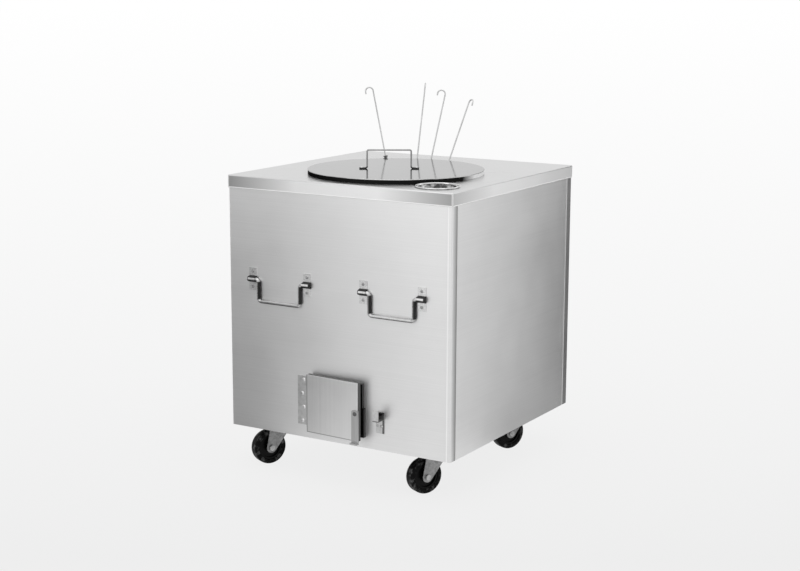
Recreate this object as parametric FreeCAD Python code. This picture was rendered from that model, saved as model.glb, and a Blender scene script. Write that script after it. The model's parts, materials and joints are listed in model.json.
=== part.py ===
import FreeCAD, Part
import math
import os

# Square charcoal tandoor on casters. Millimetres, floor at z = 0, front towards -Y.

# Table and casing
table_width = 762.0
table_edge = 38.0
table_sheet = 2.0
table_bend = 3.0
table_overhang = 2.0
casing_height = 725.0
panel_sheet = 1.5
panel_bend = 4.0
panel_return = 28.0
seam_gap = 1.2

# Welded frame inside the casing
base_sheet = 4.0
frame_leg = 30.0
frame_sheet = 3.0
post_leg = 50.0
post_sheet = 4.0

# Clay pot, mouth, hearth and grate
mouth_radius = 212.0
collar_sheet = 2.0
collar_flange = 36.0
collar_drop = 30.0
pot_foot_radius = 232.0
pot_belly_radius = 300.0
pot_belly_height = 330.0
pot_neck_gap = 8.0
pot_wall = 30.0
hearth_radius = 240.0
hearth_height = 35.0
grate_height = 159.0
grate_thickness = 12.0
grate_bar = 12.0
grate_slot = 12.0
grate_rim = 18.0
fill_margin = 4.5

# Ash duct and its black collar on the front panel
duct_width = 160.0
duct_height = 147.0
duct_sheet = 3.0
duct_into_pot = 27.0
frame_proud = 10.0
frame_below_door_top = 8.0
frame_above_door_foot = 6.0
frame_inside_hinge_edge = 4.0
frame_inside_latch_edge = 1.0
lug_thickness = 5.0
lug_above_pivot = 10.0
hole_clearance = 1.0

# Ash door, stored ajar, on its hinge
door_left = -88.0
door_width = 183.0
door_foot = 26.0
door_height = 173.0
door_depth = 15.0
door_face_sheet = 1.5
door_face_round = 0.7
door_tray_sheet = 2.0
door_seat_gap = 0.5
door_ajar = 3.0
hinge_length = 148.0
hinge_rise = 39.0
hinge_leaf_width = 38.0
hinge_sheet = 2.0
hinge_knuckle_radius = 4.5
hinge_pin_radius = 2.5
hinge_axis_beside_door = 5.0
hinge_knuckles = 5
hinge_gap = 0.5
hinge_panel_gap = 0.3
hinge_screw_pitch = 41.5
hinge_screw_stagger = 2.5
leaf_reach = 13.5
leaf_rivet_pitch = 52.0

# Latch bar, keeper and buffer
latch_from_edge = 7.0
latch_height = 82.5
latch_width = 24.0
latch_above = 10.0
latch_below = 90.0
latch_sheet = 4.0
latch_foot = 9.0
latch_round = 5.0
pivot_radius = 4.0
pivot_head_radius = 6.5
pivot_head_height = 2.5
latch_gap = 0.4
keeper_left = 135.6
keeper_width = 26.0
keeper_lip_width = 18.5
keeper_flange = 44.0
keeper_lip = 30.0
keeper_sheet = 3.0
keeper_play = 0.6
buffer_proud = 8.0
buffer_height = 18.0
buffer_inset = 2.0

# Bail handles in saddle clips on the front panel
handle_inset = 186.0
handles_left = 4.0
handle_below_table = 304.0
handle_rod_radius = 5.5
handle_leg_offset = 73.5
handle_end_offset = 107.5
handle_drop = 64.5
handle_bend = 9.5
handle_panel_gap = 0.8
saddle_offset = 96.5
saddle_width = 26.0
saddle_height = 68.0
saddle_sheet = 2.5
saddle_screw_offset = 23.0

# Lid, slid forward of the mouth
lid_x = 18.7
lid_y = -81.6
lid_radius = 263.5
lid_sheet = 2.0
lid_round = 0.8
rim_height = 11.5
rim_sheet = 3.0
rim_inset = 0.8
lid_handle_left = 13.7
lid_handle_forward = 16.4
lid_handle_turn = 32.0
lid_handle_span = 131.0
lid_handle_height = 55.5
lid_handle_radius = 2.75
lid_handle_bend = 8.0
lid_foot_length = 27.0
lid_foot_width = 14.0
lid_foot_sheet = 4.0
lid_rivet_from_leg = 16.0

# Water bowl in the front right corner of the table
bowl_inset_side = 101.0
bowl_inset_front = 93.0
bowl_radius = 54.0
bowl_depth = 42.0
bowl_sheet = 1.5
bowl_rim = 62.0
bowl_bead = 2.2
bowl_hole_clearance = 1.5
bowl_well_margin = 6.0

# Skewers: each stands on the grate, leans on the mouth's rim and carries a hook
skewer_radius = 2.25
skewer_point = 16.0
skewer_tip_radius = 1.0
skewer_hook_radius = 12.0
skewer_hook_tail = 7.0
skewer_rim_gap = 0.5
skewer_1_foot_x = -26.0
skewer_1_foot_y = 146.0
skewer_1_above_table = 227.5
skewer_1_rim_angle = 136.7
skewer_1_hook_angle = 212.0
skewer_2_foot_x = -69.0
skewer_2_foot_y = 69.0
skewer_2_above_table = 238.0
skewer_2_rim_angle = 110.4
skewer_2_hook_angle = 121.0
skewer_3_foot_x = -74.0
skewer_3_foot_y = 42.0
skewer_3_above_table = 218.0
skewer_3_rim_angle = 98.1
skewer_3_hook_angle = 212.0
skewer_4_foot_x = -77.0
skewer_4_foot_y = 15.0
skewer_4_above_table = 200.0
skewer_4_rim_angle = 80.5
skewer_4_hook_angle = -32.0
cup_radius = 7.5
cup_height = 10.0
cup_above_table = 10.0

# Casters
caster_height = 126.0
caster_inset_side = 104.0
caster_inset_front = 104.0
caster_inset_rear = 130.0
caster_turn = -28.0
wheel_radius = 52.0
wheel_width = 32.0
wheel_shoulder = 7.0
core_radius = 37.5
core_width = 26.0
core_groove_depth = 5.0
core_groove_outer = 32.5
hub_radius = 15.0
hub_length = 36.0
axle_radius = 5.0
caster_trail = 42.0
caster_plate_size = 92.0
caster_plate_sheet = 4.0
caster_plate_round = 8.0
race_radius = 26.0
race_height = 6.0
kingpin_radius = 6.0
kingpin_head_radius = 11.0
kingpin_head_height = 6.0
fork_sheet = 3.0
fork_side_gap = 1.0
fork_front = 46.0
fork_rear = 27.0
fork_lobe_radius = 16.0
caster_bolt_offset = 34.0

# Fasteners and running clearances
running_clearance = 0.08
face_gap = 0.3
screw_radius = 2.4
screw_head_radius = 4.6
screw_head_height = 2.0
screw_tail = 1.5
hinge_screw_head_radius = 6.0
flush_head_height = 2.0
bolt_radius = 4.0
bolt_head_across = 13.0
bolt_head_height = 5.0
bolt_tail = 3.0
nut_height = 6.5
axle_head_across = 16.0
axle_head_height = 6.0

# Levels and faces that several pieces share
table_half = table_width / 2
casing_half = table_half - table_overhang
pot_neck_radius = mouth_radius + pot_neck_gap + pot_wall
inner_half = casing_half - panel_sheet
panel_face = -casing_half
base_z = caster_height
base_top_z = base_z + base_sheet
edge_z = base_z + casing_height
table_z = edge_z + table_edge
under_z = table_z - table_sheet
panel_top_z = under_z - seam_gap
hearth_top_z = base_top_z + hearth_height
pot_top_z = under_z - collar_sheet
grate_top_z = hearth_top_z + grate_height
bowl_x = table_half - bowl_inset_side
bowl_y = bowl_inset_front - table_half
lid_bottom_z = table_z + face_gap
lid_top_z = lid_bottom_z + rim_height + lid_sheet
lid_handle_x = lid_x - lid_handle_left
lid_handle_y = lid_y - lid_handle_forward
frame_face = panel_face - frame_proud
door_back = frame_face - door_seat_gap
door_front = door_back - door_depth
door_right = door_left + door_width
door_foot_z = base_z + door_foot
door_top_z = door_foot_z + door_height
duct_centre = (door_left + door_right) / 2
duct_top_z = hearth_top_z + duct_height
duct_end = duct_into_pot - pot_foot_radius
hinge_x = door_left - hinge_axis_beside_door
hinge_y = panel_face - hinge_knuckle_radius - hinge_panel_gap
hinge_foot_z = base_z + hinge_rise
latch_x = door_right - latch_from_edge
latch_z = door_foot_z + latch_height
latch_back = door_front - latch_gap
latch_front = latch_back - latch_sheet
keeper_ledge_z = latch_z - latch_width / 2 - keeper_play
keeper_lip_face = latch_front - keeper_play
handle_z = table_z - handle_below_table
left_handle_x = handle_inset - casing_half - handles_left
right_handle_x = casing_half - handle_inset - handles_left
handle_y = panel_face - handle_rod_radius - handle_panel_gap
race_foot_z = base_z - caster_plate_sheet - race_height
fork_top_z = race_foot_z - face_gap
fork_inner_half = hub_length / 2 + fork_side_gap
fork_outer_half = fork_inner_half + fork_sheet

Vector = FreeCAD.Vector
UP = Vector(0, 0, 1)
FORWARD = Vector(0, -1, 0)


def box(x0, x1, y0, y1, z0, z1):
    """Upright box between two opposite corners."""
    return Part.makeBox(x1 - x0, y1 - y0, z1 - z0, Vector(x0, y0, z0))


def square(half, z0, z1):
    """Upright square prism about the Z axis."""
    return box(-half, half, -half, half, z0, z1)


def drum(radius, z0, z1, x=0.0, y=0.0):
    """Upright cylinder."""
    return Part.makeCylinder(radius, z1 - z0, Vector(x, y, z0))


def drum_x(radius, x0, x1, y, z):
    """Cylinder along X."""
    return Part.makeCylinder(radius, x1 - x0, Vector(x0, y, z), Vector(1, 0, 0))


def drum_y(radius, x, z, y0, y1):
    """Cylinder along Y."""
    return Part.makeCylinder(radius, y1 - y0, Vector(x, y0, z), Vector(0, 1, 0))


def rounded_square(half, radius, z0, z1):
    """Upright square prism with rounded vertical edges."""
    block = square(half, z0, z1)
    upright = [e for e in block.Edges if abs(e.tangentAt(e.FirstParameter).z) > 0.5]
    return block.makeFillet(radius, upright)


def plate_outline(points, thickness_vector):
    """Straight-sided plate: a closed outline pushed along a vector."""
    wire = Part.makePolygon(points + points[:1])
    return Part.Face(wire).extrude(thickness_vector)


def hexagon(across, height, at, along):
    """Hexagonal bolt head or nut standing at a point."""
    corner = across / math.sqrt(3)
    angles = [math.radians(60 * k) for k in range(6)]
    points = [Vector(corner * math.cos(a), corner * math.sin(a), 0) for a in angles]
    solid = plate_outline(points, Vector(0, 0, height))
    solid.Placement = FreeCAD.Placement(at, FreeCAD.Rotation(UP, along))
    return solid


def dome_screw(at, outward, head_radius, head_height, shank_radius, shank_length):
    """Dome-headed screw or rivet, turned about its axis, seated at a point."""
    ball = (head_radius ** 2 + head_height ** 2) / (2 * head_height)
    half_angle = math.asin(min(1.0, head_radius / ball)) / 2
    shoulder = Vector(ball * math.sin(half_angle), 0, head_height - ball + ball * math.cos(half_angle))
    foot = Vector(0, 0, -shank_length)
    foot_edge = Vector(shank_radius, 0, -shank_length)
    neck = Vector(shank_radius, 0, 0)
    brim = Vector(head_radius, 0, 0)
    crown = Vector(0, 0, head_height)
    edges = [
        Part.LineSegment(foot, foot_edge).toShape(),
        Part.LineSegment(foot_edge, neck).toShape(),
        Part.LineSegment(neck, brim).toShape(),
        Part.Arc(brim, shoulder, crown).toShape(),
        Part.LineSegment(crown, foot).toShape(),
    ]
    solid = Part.Face(Part.Wire(edges)).revolve(Vector(0, 0, 0), UP, 360)
    solid.Placement = FreeCAD.Placement(at, FreeCAD.Rotation(UP, outward))
    return solid


def bent_path(points, bend):
    """Straight runs joined by tangent arcs of one radius."""
    edges = []
    start = points[0]
    for before, corner, after in zip(points, points[1:], points[2:]):
        back = (before - corner).normalize()
        ahead = (after - corner).normalize()
        half_turn = (math.pi - back.getAngle(ahead)) / 2
        cut = bend * math.tan(half_turn)
        middle = (back + ahead).normalize()
        reach = bend / math.cos(half_turn) - bend
        arc_start = corner + back * cut
        arc_end = corner + ahead * cut
        edges.append(Part.LineSegment(start, arc_start).toShape())
        edges.append(Part.Arc(arc_start, corner + middle * reach, arc_end).toShape())
        start = arc_end
    edges.append(Part.LineSegment(start, points[-1]).toShape())
    return edges


def rod(edges, radius):
    """Round rod swept along a path of edges that start with a straight run."""
    path = Part.Wire(edges)
    first = edges[0]
    start = first.valueAt(first.FirstParameter)
    heading = first.tangentAt(first.FirstParameter)
    ring = Part.Wire(Part.makeCircle(radius, start, heading))
    return path.makePipeShell([ring], True, False)


def arc_circle(a, b, c):
    """Centre and radius of the circle through three (radius, height) points."""
    ax, ay = a
    bx, by = b
    cx, cy = c
    d = 2 * (ax * (by - cy) + bx * (cy - ay) + cx * (ay - by))
    a2 = ax * ax + ay * ay
    b2 = bx * bx + by * by
    c2 = cx * cx + cy * cy
    ux = (a2 * (by - cy) + b2 * (cy - ay) + c2 * (ay - by)) / d
    uy = (a2 * (cx - bx) + b2 * (ax - cx) + c2 * (bx - ax)) / d
    return ux, uy, math.hypot(ax - ux, ay - uy)


def on_door(shape):
    """Door pieces are drawn shut, then swung out to the stored ajar angle."""
    turned = shape.copy()
    turned.rotate(Vector(hinge_x, hinge_y, 0), UP, -door_ajar)
    return turned


# Welded frame and base
def angle_ring(z0, flat_at_top):
    """Square ring of equal angle: one wall against the casing, one flat leg inwards."""
    z1 = z0 + frame_leg
    flat_z = z1 - frame_sheet if flat_at_top else z0 + frame_sheet
    ring = rounded_square(inner_half, panel_bend, z0, z1)
    ring = ring.cut(square(inner_half - frame_leg, z0, z1))
    if flat_at_top:
        return ring.cut(square(inner_half - frame_sheet, z0, flat_z))
    return ring.cut(square(inner_half - frame_sheet, flat_z, z1))


def corner_posts():
    """Four angle posts between the base ring and the top ring."""
    z0 = base_top_z + frame_leg
    z1 = under_z - frame_leg
    tube = rounded_square(inner_half, panel_bend, z0, z1).cut(square(inner_half - post_sheet, z0, z1))
    near = inner_half - post_leg
    posts = []
    for sx in (-1, 1):
        for sy in (-1, 1):
            xs = sorted((sx * near, sx * inner_half))
            ys = sorted((sy * near, sy * inner_half))
            posts.append(tube.common(box(*xs, *ys, z0, z1)))
    return Part.makeCompound(posts)


def caster_spots():
    """Swivel centres, by corner name."""
    side = casing_half - caster_inset_side
    front = caster_inset_front - casing_half
    rear = casing_half - caster_inset_rear
    return {
        "front_left": (-side, front),
        "front_right": (side, front),
        "rear_left": (-side, rear),
        "rear_right": (side, rear),
    }


def caster_bolt_spots():
    """Bolt centres of all caster plates."""
    spots = []
    for x, y in caster_spots().values():
        for sx in (-1, 1):
            for sy in (-1, 1):
                spots.append((x + sx * caster_bolt_offset, y + sy * caster_bolt_offset))
    return spots


def base_plate():
    """Steel floor sheet inside the panels, drilled for the caster bolts."""
    plate = rounded_square(inner_half, panel_bend, base_z, base_top_z)
    holes = [drum(bolt_radius, base_z, base_top_z, x, y) for x, y in caster_bolt_spots()]
    return plate.cut(holes)


# Casing panels
def casing_tube():
    """Square tube of casing sheet that the front and back panels are cut from."""
    outer = rounded_square(casing_half, panel_bend, base_z, panel_top_z)
    return outer.cut(rounded_square(inner_half, panel_bend - panel_sheet, base_z, panel_top_z))


def front_panel_holes():
    """Duct opening and screw holes through the front panel."""
    y0 = -casing_half
    y1 = -inner_half
    left = duct_centre - duct_width / 2 - hole_clearance
    right = duct_centre + duct_width / 2 + hole_clearance
    holes = [box(left, right, y0, y1, hearth_top_z - hole_clearance, duct_top_z + hole_clearance)]
    spots = hinge_screw_spots() + saddle_screw_spots() + keeper_screw_spots()
    for x, z in spots:
        holes.append(drum_y(screw_radius, x, z, y0, y1))
    return holes


def front_panel():
    """Front sheet folded round both front corners."""
    slab = box(-casing_half, casing_half, -casing_half, panel_return - casing_half, base_z, panel_top_z)
    return casing_tube().common(slab).cut(front_panel_holes())


def back_panel():
    """Back sheet folded round both rear corners."""
    slab = box(-casing_half, casing_half, casing_half - panel_return, casing_half, base_z, panel_top_z)
    return casing_tube().common(slab)


def side_panel(side):
    """Flat sheet between the front and back returns, backed by the corner posts."""
    reach = casing_half - panel_return - seam_gap
    xs = sorted((side * inner_half, side * casing_half))
    return box(*xs, -reach, reach, base_z, panel_top_z)


# Table, mouth and pot
def table_top():
    """Folded square tray with the mouth and the bowl hole."""
    tray = square(table_half, edge_z, table_z)
    folds = []
    for edge in tray.Edges:
        upright = abs(edge.tangentAt(edge.FirstParameter).z) > 0.5
        on_top = min(v.Z for v in edge.Vertexes) > table_z - table_sheet
        if upright or on_top:
            folds.append(edge)
    tray = tray.makeFillet(table_bend, folds)
    tray = tray.cut(square(table_half - table_sheet, edge_z, under_z))
    mouth = drum(mouth_radius + collar_sheet, under_z, table_z)
    bowl_hole = drum(bowl_radius + bowl_hole_clearance, under_z, table_z, bowl_x, bowl_y)
    return tray.cut([mouth, bowl_hole])


def mouth_collar():
    """Angle ring in the mouth: spigot into the pot's neck, flange on the pot's rim."""
    spigot = drum(mouth_radius + collar_sheet, table_z - collar_drop, table_z)
    flange = drum(mouth_radius + collar_flange, pot_top_z, under_z)
    return spigot.fuse(flange).removeSplitter().cut(drum(mouth_radius, table_z - collar_drop, table_z))


def pot_curve(inset):
    """Three (radius, height) points of the barrel curve, drawn in by an inset."""
    return [
        (pot_foot_radius - inset, hearth_top_z),
        (pot_belly_radius - inset, hearth_top_z + pot_belly_height),
        (pot_neck_radius - inset, pot_top_z),
    ]


def barrel(inset):
    """Solid of revolution of the barrel curve."""
    foot, belly, neck = [Vector(r, 0, z) for r, z in pot_curve(inset)]
    foot_axis = Vector(0, 0, foot.z)
    neck_axis = Vector(0, 0, neck.z)
    edges = [
        Part.LineSegment(foot_axis, foot).toShape(),
        Part.Arc(foot, belly, neck).toShape(),
        Part.LineSegment(neck, neck_axis).toShape(),
        Part.LineSegment(neck_axis, foot_axis).toShape(),
    ]
    return Part.Face(Part.Wire(edges)).revolve(Vector(0, 0, 0), UP, 360)


def duct_block(margin):
    """Outer block of the duct, grown by a margin, from the panel to its inner end."""
    left = duct_centre - duct_width / 2 - margin
    right = duct_centre + duct_width / 2 + margin
    return box(left, right, frame_face, duct_end + margin, hearth_top_z - margin, duct_top_z + margin)


def clay_pot():
    """Open barrel of fired clay in two luted sections, the lower one notched for the ash duct."""
    pot = barrel(0.0).cut(barrel(pot_wall)).cut(duct_block(hole_clearance))
    joint_z = duct_top_z + hole_clearance
    lower = pot.common(square(pot_belly_radius, hearth_top_z, joint_z))
    upper = pot.common(square(pot_belly_radius, joint_z, pot_top_z))
    return Part.makeCompound(lower.Solids + upper.Solids)


def fire_grate():
    """Cast disc with parallel slots, wedged in the taper of the pot."""
    grate_foot_z = grate_top_z - grate_thickness
    centre_r, centre_z, sweep = arc_circle(*pot_curve(pot_wall))
    seat = centre_r + math.sqrt(sweep ** 2 - (grate_foot_z - centre_z) ** 2)
    radius = seat - face_gap
    disc = drum(radius, grate_foot_z, grate_top_z)
    pitch = grate_bar + grate_slot
    open_radius = radius - grate_rim
    pairs = int((open_radius - grate_slot) / pitch)
    slots = []
    for k in range(pairs):
        middle = (k + 0.5) * pitch
        reach = math.sqrt(open_radius ** 2 - (middle + grate_slot / 2) ** 2)
        for side in (-1, 1):
            x0 = side * middle - grate_slot / 2
            slots.append(box(x0, x0 + grate_slot, -reach, reach, grate_foot_z, grate_top_z))
    return disc.cut(slots)


def insulation():
    """Loose fill round the pot, inside the posts and between the frame rings."""
    z0 = base_top_z + frame_sheet
    z1 = under_z - frame_sheet
    fill = square(inner_half - fill_margin, z0, z1)
    hearth_space = drum(hearth_radius, z0, hearth_top_z)
    well_radius = bowl_radius + bowl_hole_clearance + bowl_well_margin
    well_foot_z = table_z - bowl_depth - bowl_well_margin
    well = drum(well_radius, well_foot_z, z1, bowl_x, bowl_y)
    pocket = bolt_head_across
    nuts = [drum(pocket, z0, base_top_z + nut_height + bolt_tail, x, y) for x, y in caster_bolt_spots()]
    flange_space = drum(mouth_radius + collar_flange, pot_top_z, z1) if z1 > pot_top_z else None
    spaces = [barrel(0.0), hearth_space, well, duct_block(0.0)] + nuts
    if flange_space:
        spaces.append(flange_space)
    return fill.cut(spaces)


# Ash duct, door and latch
def frame_sides():
    """Left, right, foot and top of the black collar behind the door."""
    left = door_left + frame_inside_hinge_edge
    right = door_right - frame_inside_latch_edge
    return left, right, door_foot_z + frame_above_door_foot, door_top_z - frame_below_door_top


def ash_duct():
    """Square duct with a black collar that stands on the front panel."""
    left, right, foot, top = frame_sides()
    collar = box(left, right, frame_face, panel_face, foot, top)
    lug = box(right, right + lug_thickness, frame_face, panel_face, foot, latch_z + lug_above_pivot)
    bore_half = duct_width / 2 - duct_sheet
    bore_left = duct_centre - bore_half
    bore_right = duct_centre + bore_half
    bore_foot = hearth_top_z + duct_sheet
    bore = box(bore_left, bore_right, frame_face, duct_end, bore_foot, duct_top_z - duct_sheet)
    return duct_block(0.0).fuse([collar, lug]).removeSplitter().cut(bore)


def door_face():
    """Bright sheet on the front of the door, its front edges eased."""
    sheet = box(door_left, door_right, door_front, door_front + door_face_sheet, door_foot_z, door_top_z)
    front = [e for e in sheet.Edges if max(v.Y for v in e.Vertexes) < door_front + door_face_sheet / 2]
    sheet = sheet.makeFillet(door_face_round, front)
    return sheet.cut(drum_y(pivot_radius, latch_x, latch_z, door_front, door_back))


def door_inside():
    """Space inside the door tray, behind the face sheet."""
    left = door_left + door_tray_sheet
    right = door_right - door_tray_sheet
    y0 = door_front + door_face_sheet
    y1 = door_back - door_tray_sheet
    return box(left, right, y0, y1, door_foot_z + door_tray_sheet, door_top_z - door_tray_sheet)


def door_tray():
    """Dark folded tray that closes the door's back and sides."""
    y0 = door_front + door_face_sheet
    tray = box(door_left, door_right, y0, door_back, door_foot_z, door_top_z).cut(door_inside())
    holes = [leaf_rivet_hole(z) for z in leaf_rivet_heights()]
    return tray.cut(holes)


def door_insulation():
    """Fibre board that fills the door tray, bored for the latch pivot and the leaf rivets."""
    board = door_inside()
    holes = [leaf_rivet_hole(z) for z in leaf_rivet_heights()]
    holes.append(drum_y(pivot_radius, latch_x, latch_z, door_front, door_back))
    return board.cut(holes)


def knuckle_spans(moving):
    """Heights of the fixed or the moving knuckles along the hinge."""
    step = hinge_length / hinge_knuckles
    spans = []
    for k in range(hinge_knuckles):
        if (k % 2 == 1) == moving:
            low = hinge_foot_z + k * step + hinge_gap / 2
            spans.append((low, low + step - hinge_gap))
    return spans


def hinge_screw_spots():
    """Four staggered screws of the fixed leaf, as (x, z)."""
    centre_x = hinge_x - hinge_knuckle_radius - hinge_leaf_width / 2 - hinge_gap
    centre_z = hinge_foot_z + hinge_length / 2
    spots = []
    for k in range(4):
        side = hinge_screw_stagger if k % 2 else -hinge_screw_stagger
        spots.append((centre_x + side, centre_z + (k - 1.5) * hinge_screw_pitch))
    return spots


def hinge_fixed_leaf():
    """Leaf screwed to the panel, with every second knuckle."""
    edge = hinge_x - hinge_knuckle_radius - hinge_gap
    y0 = panel_face - hinge_sheet
    leaf = box(edge - hinge_leaf_width, edge, y0, panel_face, hinge_foot_z, hinge_foot_z + hinge_length)
    for low, high in knuckle_spans(False):
        tab = box(edge, hinge_x, y0, panel_face, low, high)
        leaf = leaf.fuse([tab, drum(hinge_knuckle_radius, low, high, hinge_x, hinge_y)])
    holes = [drum_y(screw_radius, x, z, y0, panel_face) for x, z in hinge_screw_spots()]
    holes.append(drum(hinge_pin_radius, hinge_foot_z, hinge_foot_z + hinge_length, hinge_x, hinge_y))
    return leaf.removeSplitter().cut(holes)


def leaf_rivet_heights():
    """Heights of the rivets that hold the door leaf to the door's side."""
    centre = hinge_foot_z + hinge_length / 2
    return [centre + side * leaf_rivet_pitch for side in (-1, 1)]


def leaf_rivet_hole(z):
    """Bore of a leaf rivet in the door's side."""
    return drum_x(screw_radius, door_left, door_left + door_tray_sheet + screw_tail, leaf_rivet_y(), z)


def leaf_rivet_y():
    """Depth of the leaf rivets, at the middle of the door leaf."""
    leaf_start = hinge_y - hinge_knuckle_radius - hinge_gap
    return leaf_start - leaf_reach / 2


def hinge_door_leaf():
    """Leaf on the door's side, with the knuckles between the fixed ones."""
    start = hinge_y - hinge_knuckle_radius - hinge_gap
    x0 = door_left - hinge_sheet
    leaf = box(x0, door_left, start - leaf_reach, start, hinge_foot_z, hinge_foot_z + hinge_length)
    for low, high in knuckle_spans(True):
        tab = box(x0, door_left, start, hinge_y, low, high)
        web = box(hinge_x, door_left, hinge_y - hinge_sheet / 2, hinge_y + hinge_sheet / 2, low, high)
        leaf = leaf.fuse([tab, web, drum(hinge_knuckle_radius, low, high, hinge_x, hinge_y)])
    bore_radius = hinge_pin_radius + running_clearance
    holes = [drum(bore_radius, hinge_foot_z, hinge_foot_z + hinge_length, hinge_x, hinge_y)]
    for z in leaf_rivet_heights():
        holes.append(drum_x(screw_radius, x0, door_left, leaf_rivet_y(), z))
    return leaf.removeSplitter().cut(holes)


def leaf_rivets():
    """Rivets through the door leaf into the tray's side."""
    length = hinge_sheet + door_tray_sheet + screw_tail
    left = Vector(-1, 0, 0)
    rivets = []
    for z in leaf_rivet_heights():
        at = Vector(door_left - hinge_sheet, leaf_rivet_y(), z)
        rivets.append(dome_screw(at, left, screw_head_radius, flush_head_height, screw_radius, length))
    return Part.makeCompound(rivets)


def latch_pivot():
    """Shoulder rivet that carries the latch bar, set in the door's back."""
    seat = latch_front - face_gap
    at = Vector(latch_x, seat, latch_z)
    length = door_back - door_tray_sheet - seat
    return dome_screw(at, FORWARD, pivot_head_radius, pivot_head_height, pivot_radius, length)


def latch_bar():
    """Flat bar that hangs from its pivot, with its foot turned out for the finger."""
    left = latch_x - latch_width / 2
    right = latch_x + latch_width / 2
    foot_z = latch_z - latch_below
    bar = box(left, right, latch_front, latch_back, foot_z, latch_z + latch_above)
    corners = []
    for edge in bar.Edges:
        along_depth = abs(edge.tangentAt(edge.FirstParameter).y) > 0.5
        if along_depth and edge.Vertexes[0].Z > latch_z:
            corners.append(edge)
    bar = bar.makeFillet(latch_round, corners)
    foot = box(left, right, latch_front - latch_foot, latch_front, foot_z, foot_z + latch_sheet)
    bore = drum_y(pivot_radius + running_clearance, latch_x, latch_z, latch_front, latch_back)
    return bar.fuse(foot).removeSplitter().cut(bore)


def keeper_screw_spots():
    """Two screws of the keeper's flange, as (x, z)."""
    x = keeper_left + keeper_width / 2
    z = keeper_ledge_z - keeper_flange / 2
    return [(x + side * keeper_width / 4, z) for side in (-1, 1)]


def keeper():
    """Bent strip: flange on the panel, ledge outwards, lip upwards."""
    x0 = keeper_left
    x1 = keeper_left + keeper_width
    lip_x0 = x1 - keeper_lip_width
    lip_out = keeper_lip_face - keeper_sheet
    seat = panel_face - keeper_sheet
    flange = box(x0, x1, seat, panel_face, keeper_ledge_z - keeper_flange, keeper_ledge_z)
    ledge = box(lip_x0, x1, lip_out, panel_face, keeper_ledge_z - keeper_sheet, keeper_ledge_z)
    lip = box(lip_x0, x1, lip_out, keeper_lip_face, keeper_ledge_z, keeper_ledge_z + keeper_lip)
    hook = flange.fuse([ledge, lip]).removeSplitter()
    holes = [drum_y(screw_radius, x, z, seat, panel_face) for x, z in keeper_screw_spots()]
    return hook.cut(holes)


def flush_screws():
    """Low dome screws of the fixed hinge leaf and of the keeper."""
    screws = []
    hinge_set = (hinge_sheet, hinge_screw_head_radius, hinge_screw_spots())
    keeper_set = (keeper_sheet, screw_head_radius, keeper_screw_spots())
    for sheet, head_radius, spots in (hinge_set, keeper_set):
        length = sheet + panel_sheet + screw_tail
        for x, z in spots:
            at = Vector(x, panel_face - sheet, z)
            screws.append(dome_screw(at, FORWARD, head_radius, flush_head_height, screw_radius, length))
    return Part.makeCompound(screws)


def keeper_buffer():
    """Black rubber pad on the panel behind the latch bar's slot."""
    x0 = keeper_left + buffer_inset
    x1 = keeper_left + keeper_width - buffer_inset / 2
    y0 = panel_face - buffer_proud
    return box(x0, x1, y0, panel_face, keeper_ledge_z, keeper_ledge_z + buffer_height)


# Bail handles
def saddle_spots():
    """Middle x of each saddle clip."""
    spots = []
    for handle in (left_handle_x, right_handle_x):
        for side in (-1, 1):
            spots.append(handle + side * saddle_offset)
    return spots


def saddle_screw_spots():
    """Two screws for each saddle clip, as (x, z)."""
    spots = []
    for x in saddle_spots():
        for side in (-1, 1):
            spots.append((x, handle_z + side * saddle_screw_offset))
    return spots


def handle_saddles():
    """Strip clips bent over the rod ends, with a flat above and below."""
    inner = handle_rod_radius + running_clearance
    outer = inner + saddle_sheet
    y_flat = panel_face - saddle_sheet
    clips = []
    for x in saddle_spots():
        x0 = x - saddle_width / 2
        x1 = x + saddle_width / 2
        arch = drum_x(outer, x0, x1, handle_y, handle_z)
        arch = arch.common(box(x0, x1, handle_y - outer, handle_y, handle_z - outer, handle_z + outer))
        walls = box(x0, x1, handle_y, panel_face, handle_z - outer, handle_z + outer)
        flat = box(x0, x1, y_flat, panel_face, handle_z - saddle_height / 2, handle_z + saddle_height / 2)
        clip = arch.fuse([walls, flat]).removeSplitter()
        bore = drum_x(inner, x0, x1, handle_y, handle_z)
        slot = box(x0, x1, handle_y, panel_face, handle_z - inner, handle_z + inner)
        clip = clip.cut([bore, slot])
        for side in (-1, 1):
            hole_z = handle_z + side * saddle_screw_offset
            clip = clip.cut(drum_y(screw_radius, x, hole_z, y_flat, panel_face))
        clips.append(clip)
    return Part.makeCompound(clips)


def saddle_screws():
    """Dome screws of the saddle clips."""
    length = saddle_sheet + panel_sheet + screw_tail
    seat = panel_face - saddle_sheet
    screws = []
    for x, z in saddle_screw_spots():
        at = Vector(x, seat, z)
        screws.append(dome_screw(at, FORWARD, screw_head_radius, screw_head_height, screw_radius, length))
    return Part.makeCompound(screws)


def bail_handle(centre):
    """Rod bent to a hanging U, its ends turned outwards into the saddles."""
    low = handle_z - handle_drop
    corners = [
        (-handle_end_offset, handle_z),
        (-handle_leg_offset, handle_z),
        (-handle_leg_offset, low),
        (handle_leg_offset, low),
        (handle_leg_offset, handle_z),
        (handle_end_offset, handle_z),
    ]
    points = [Vector(centre + dx, handle_y, z) for dx, z in corners]
    return rod(bent_path(points, handle_bend), handle_rod_radius)


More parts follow.
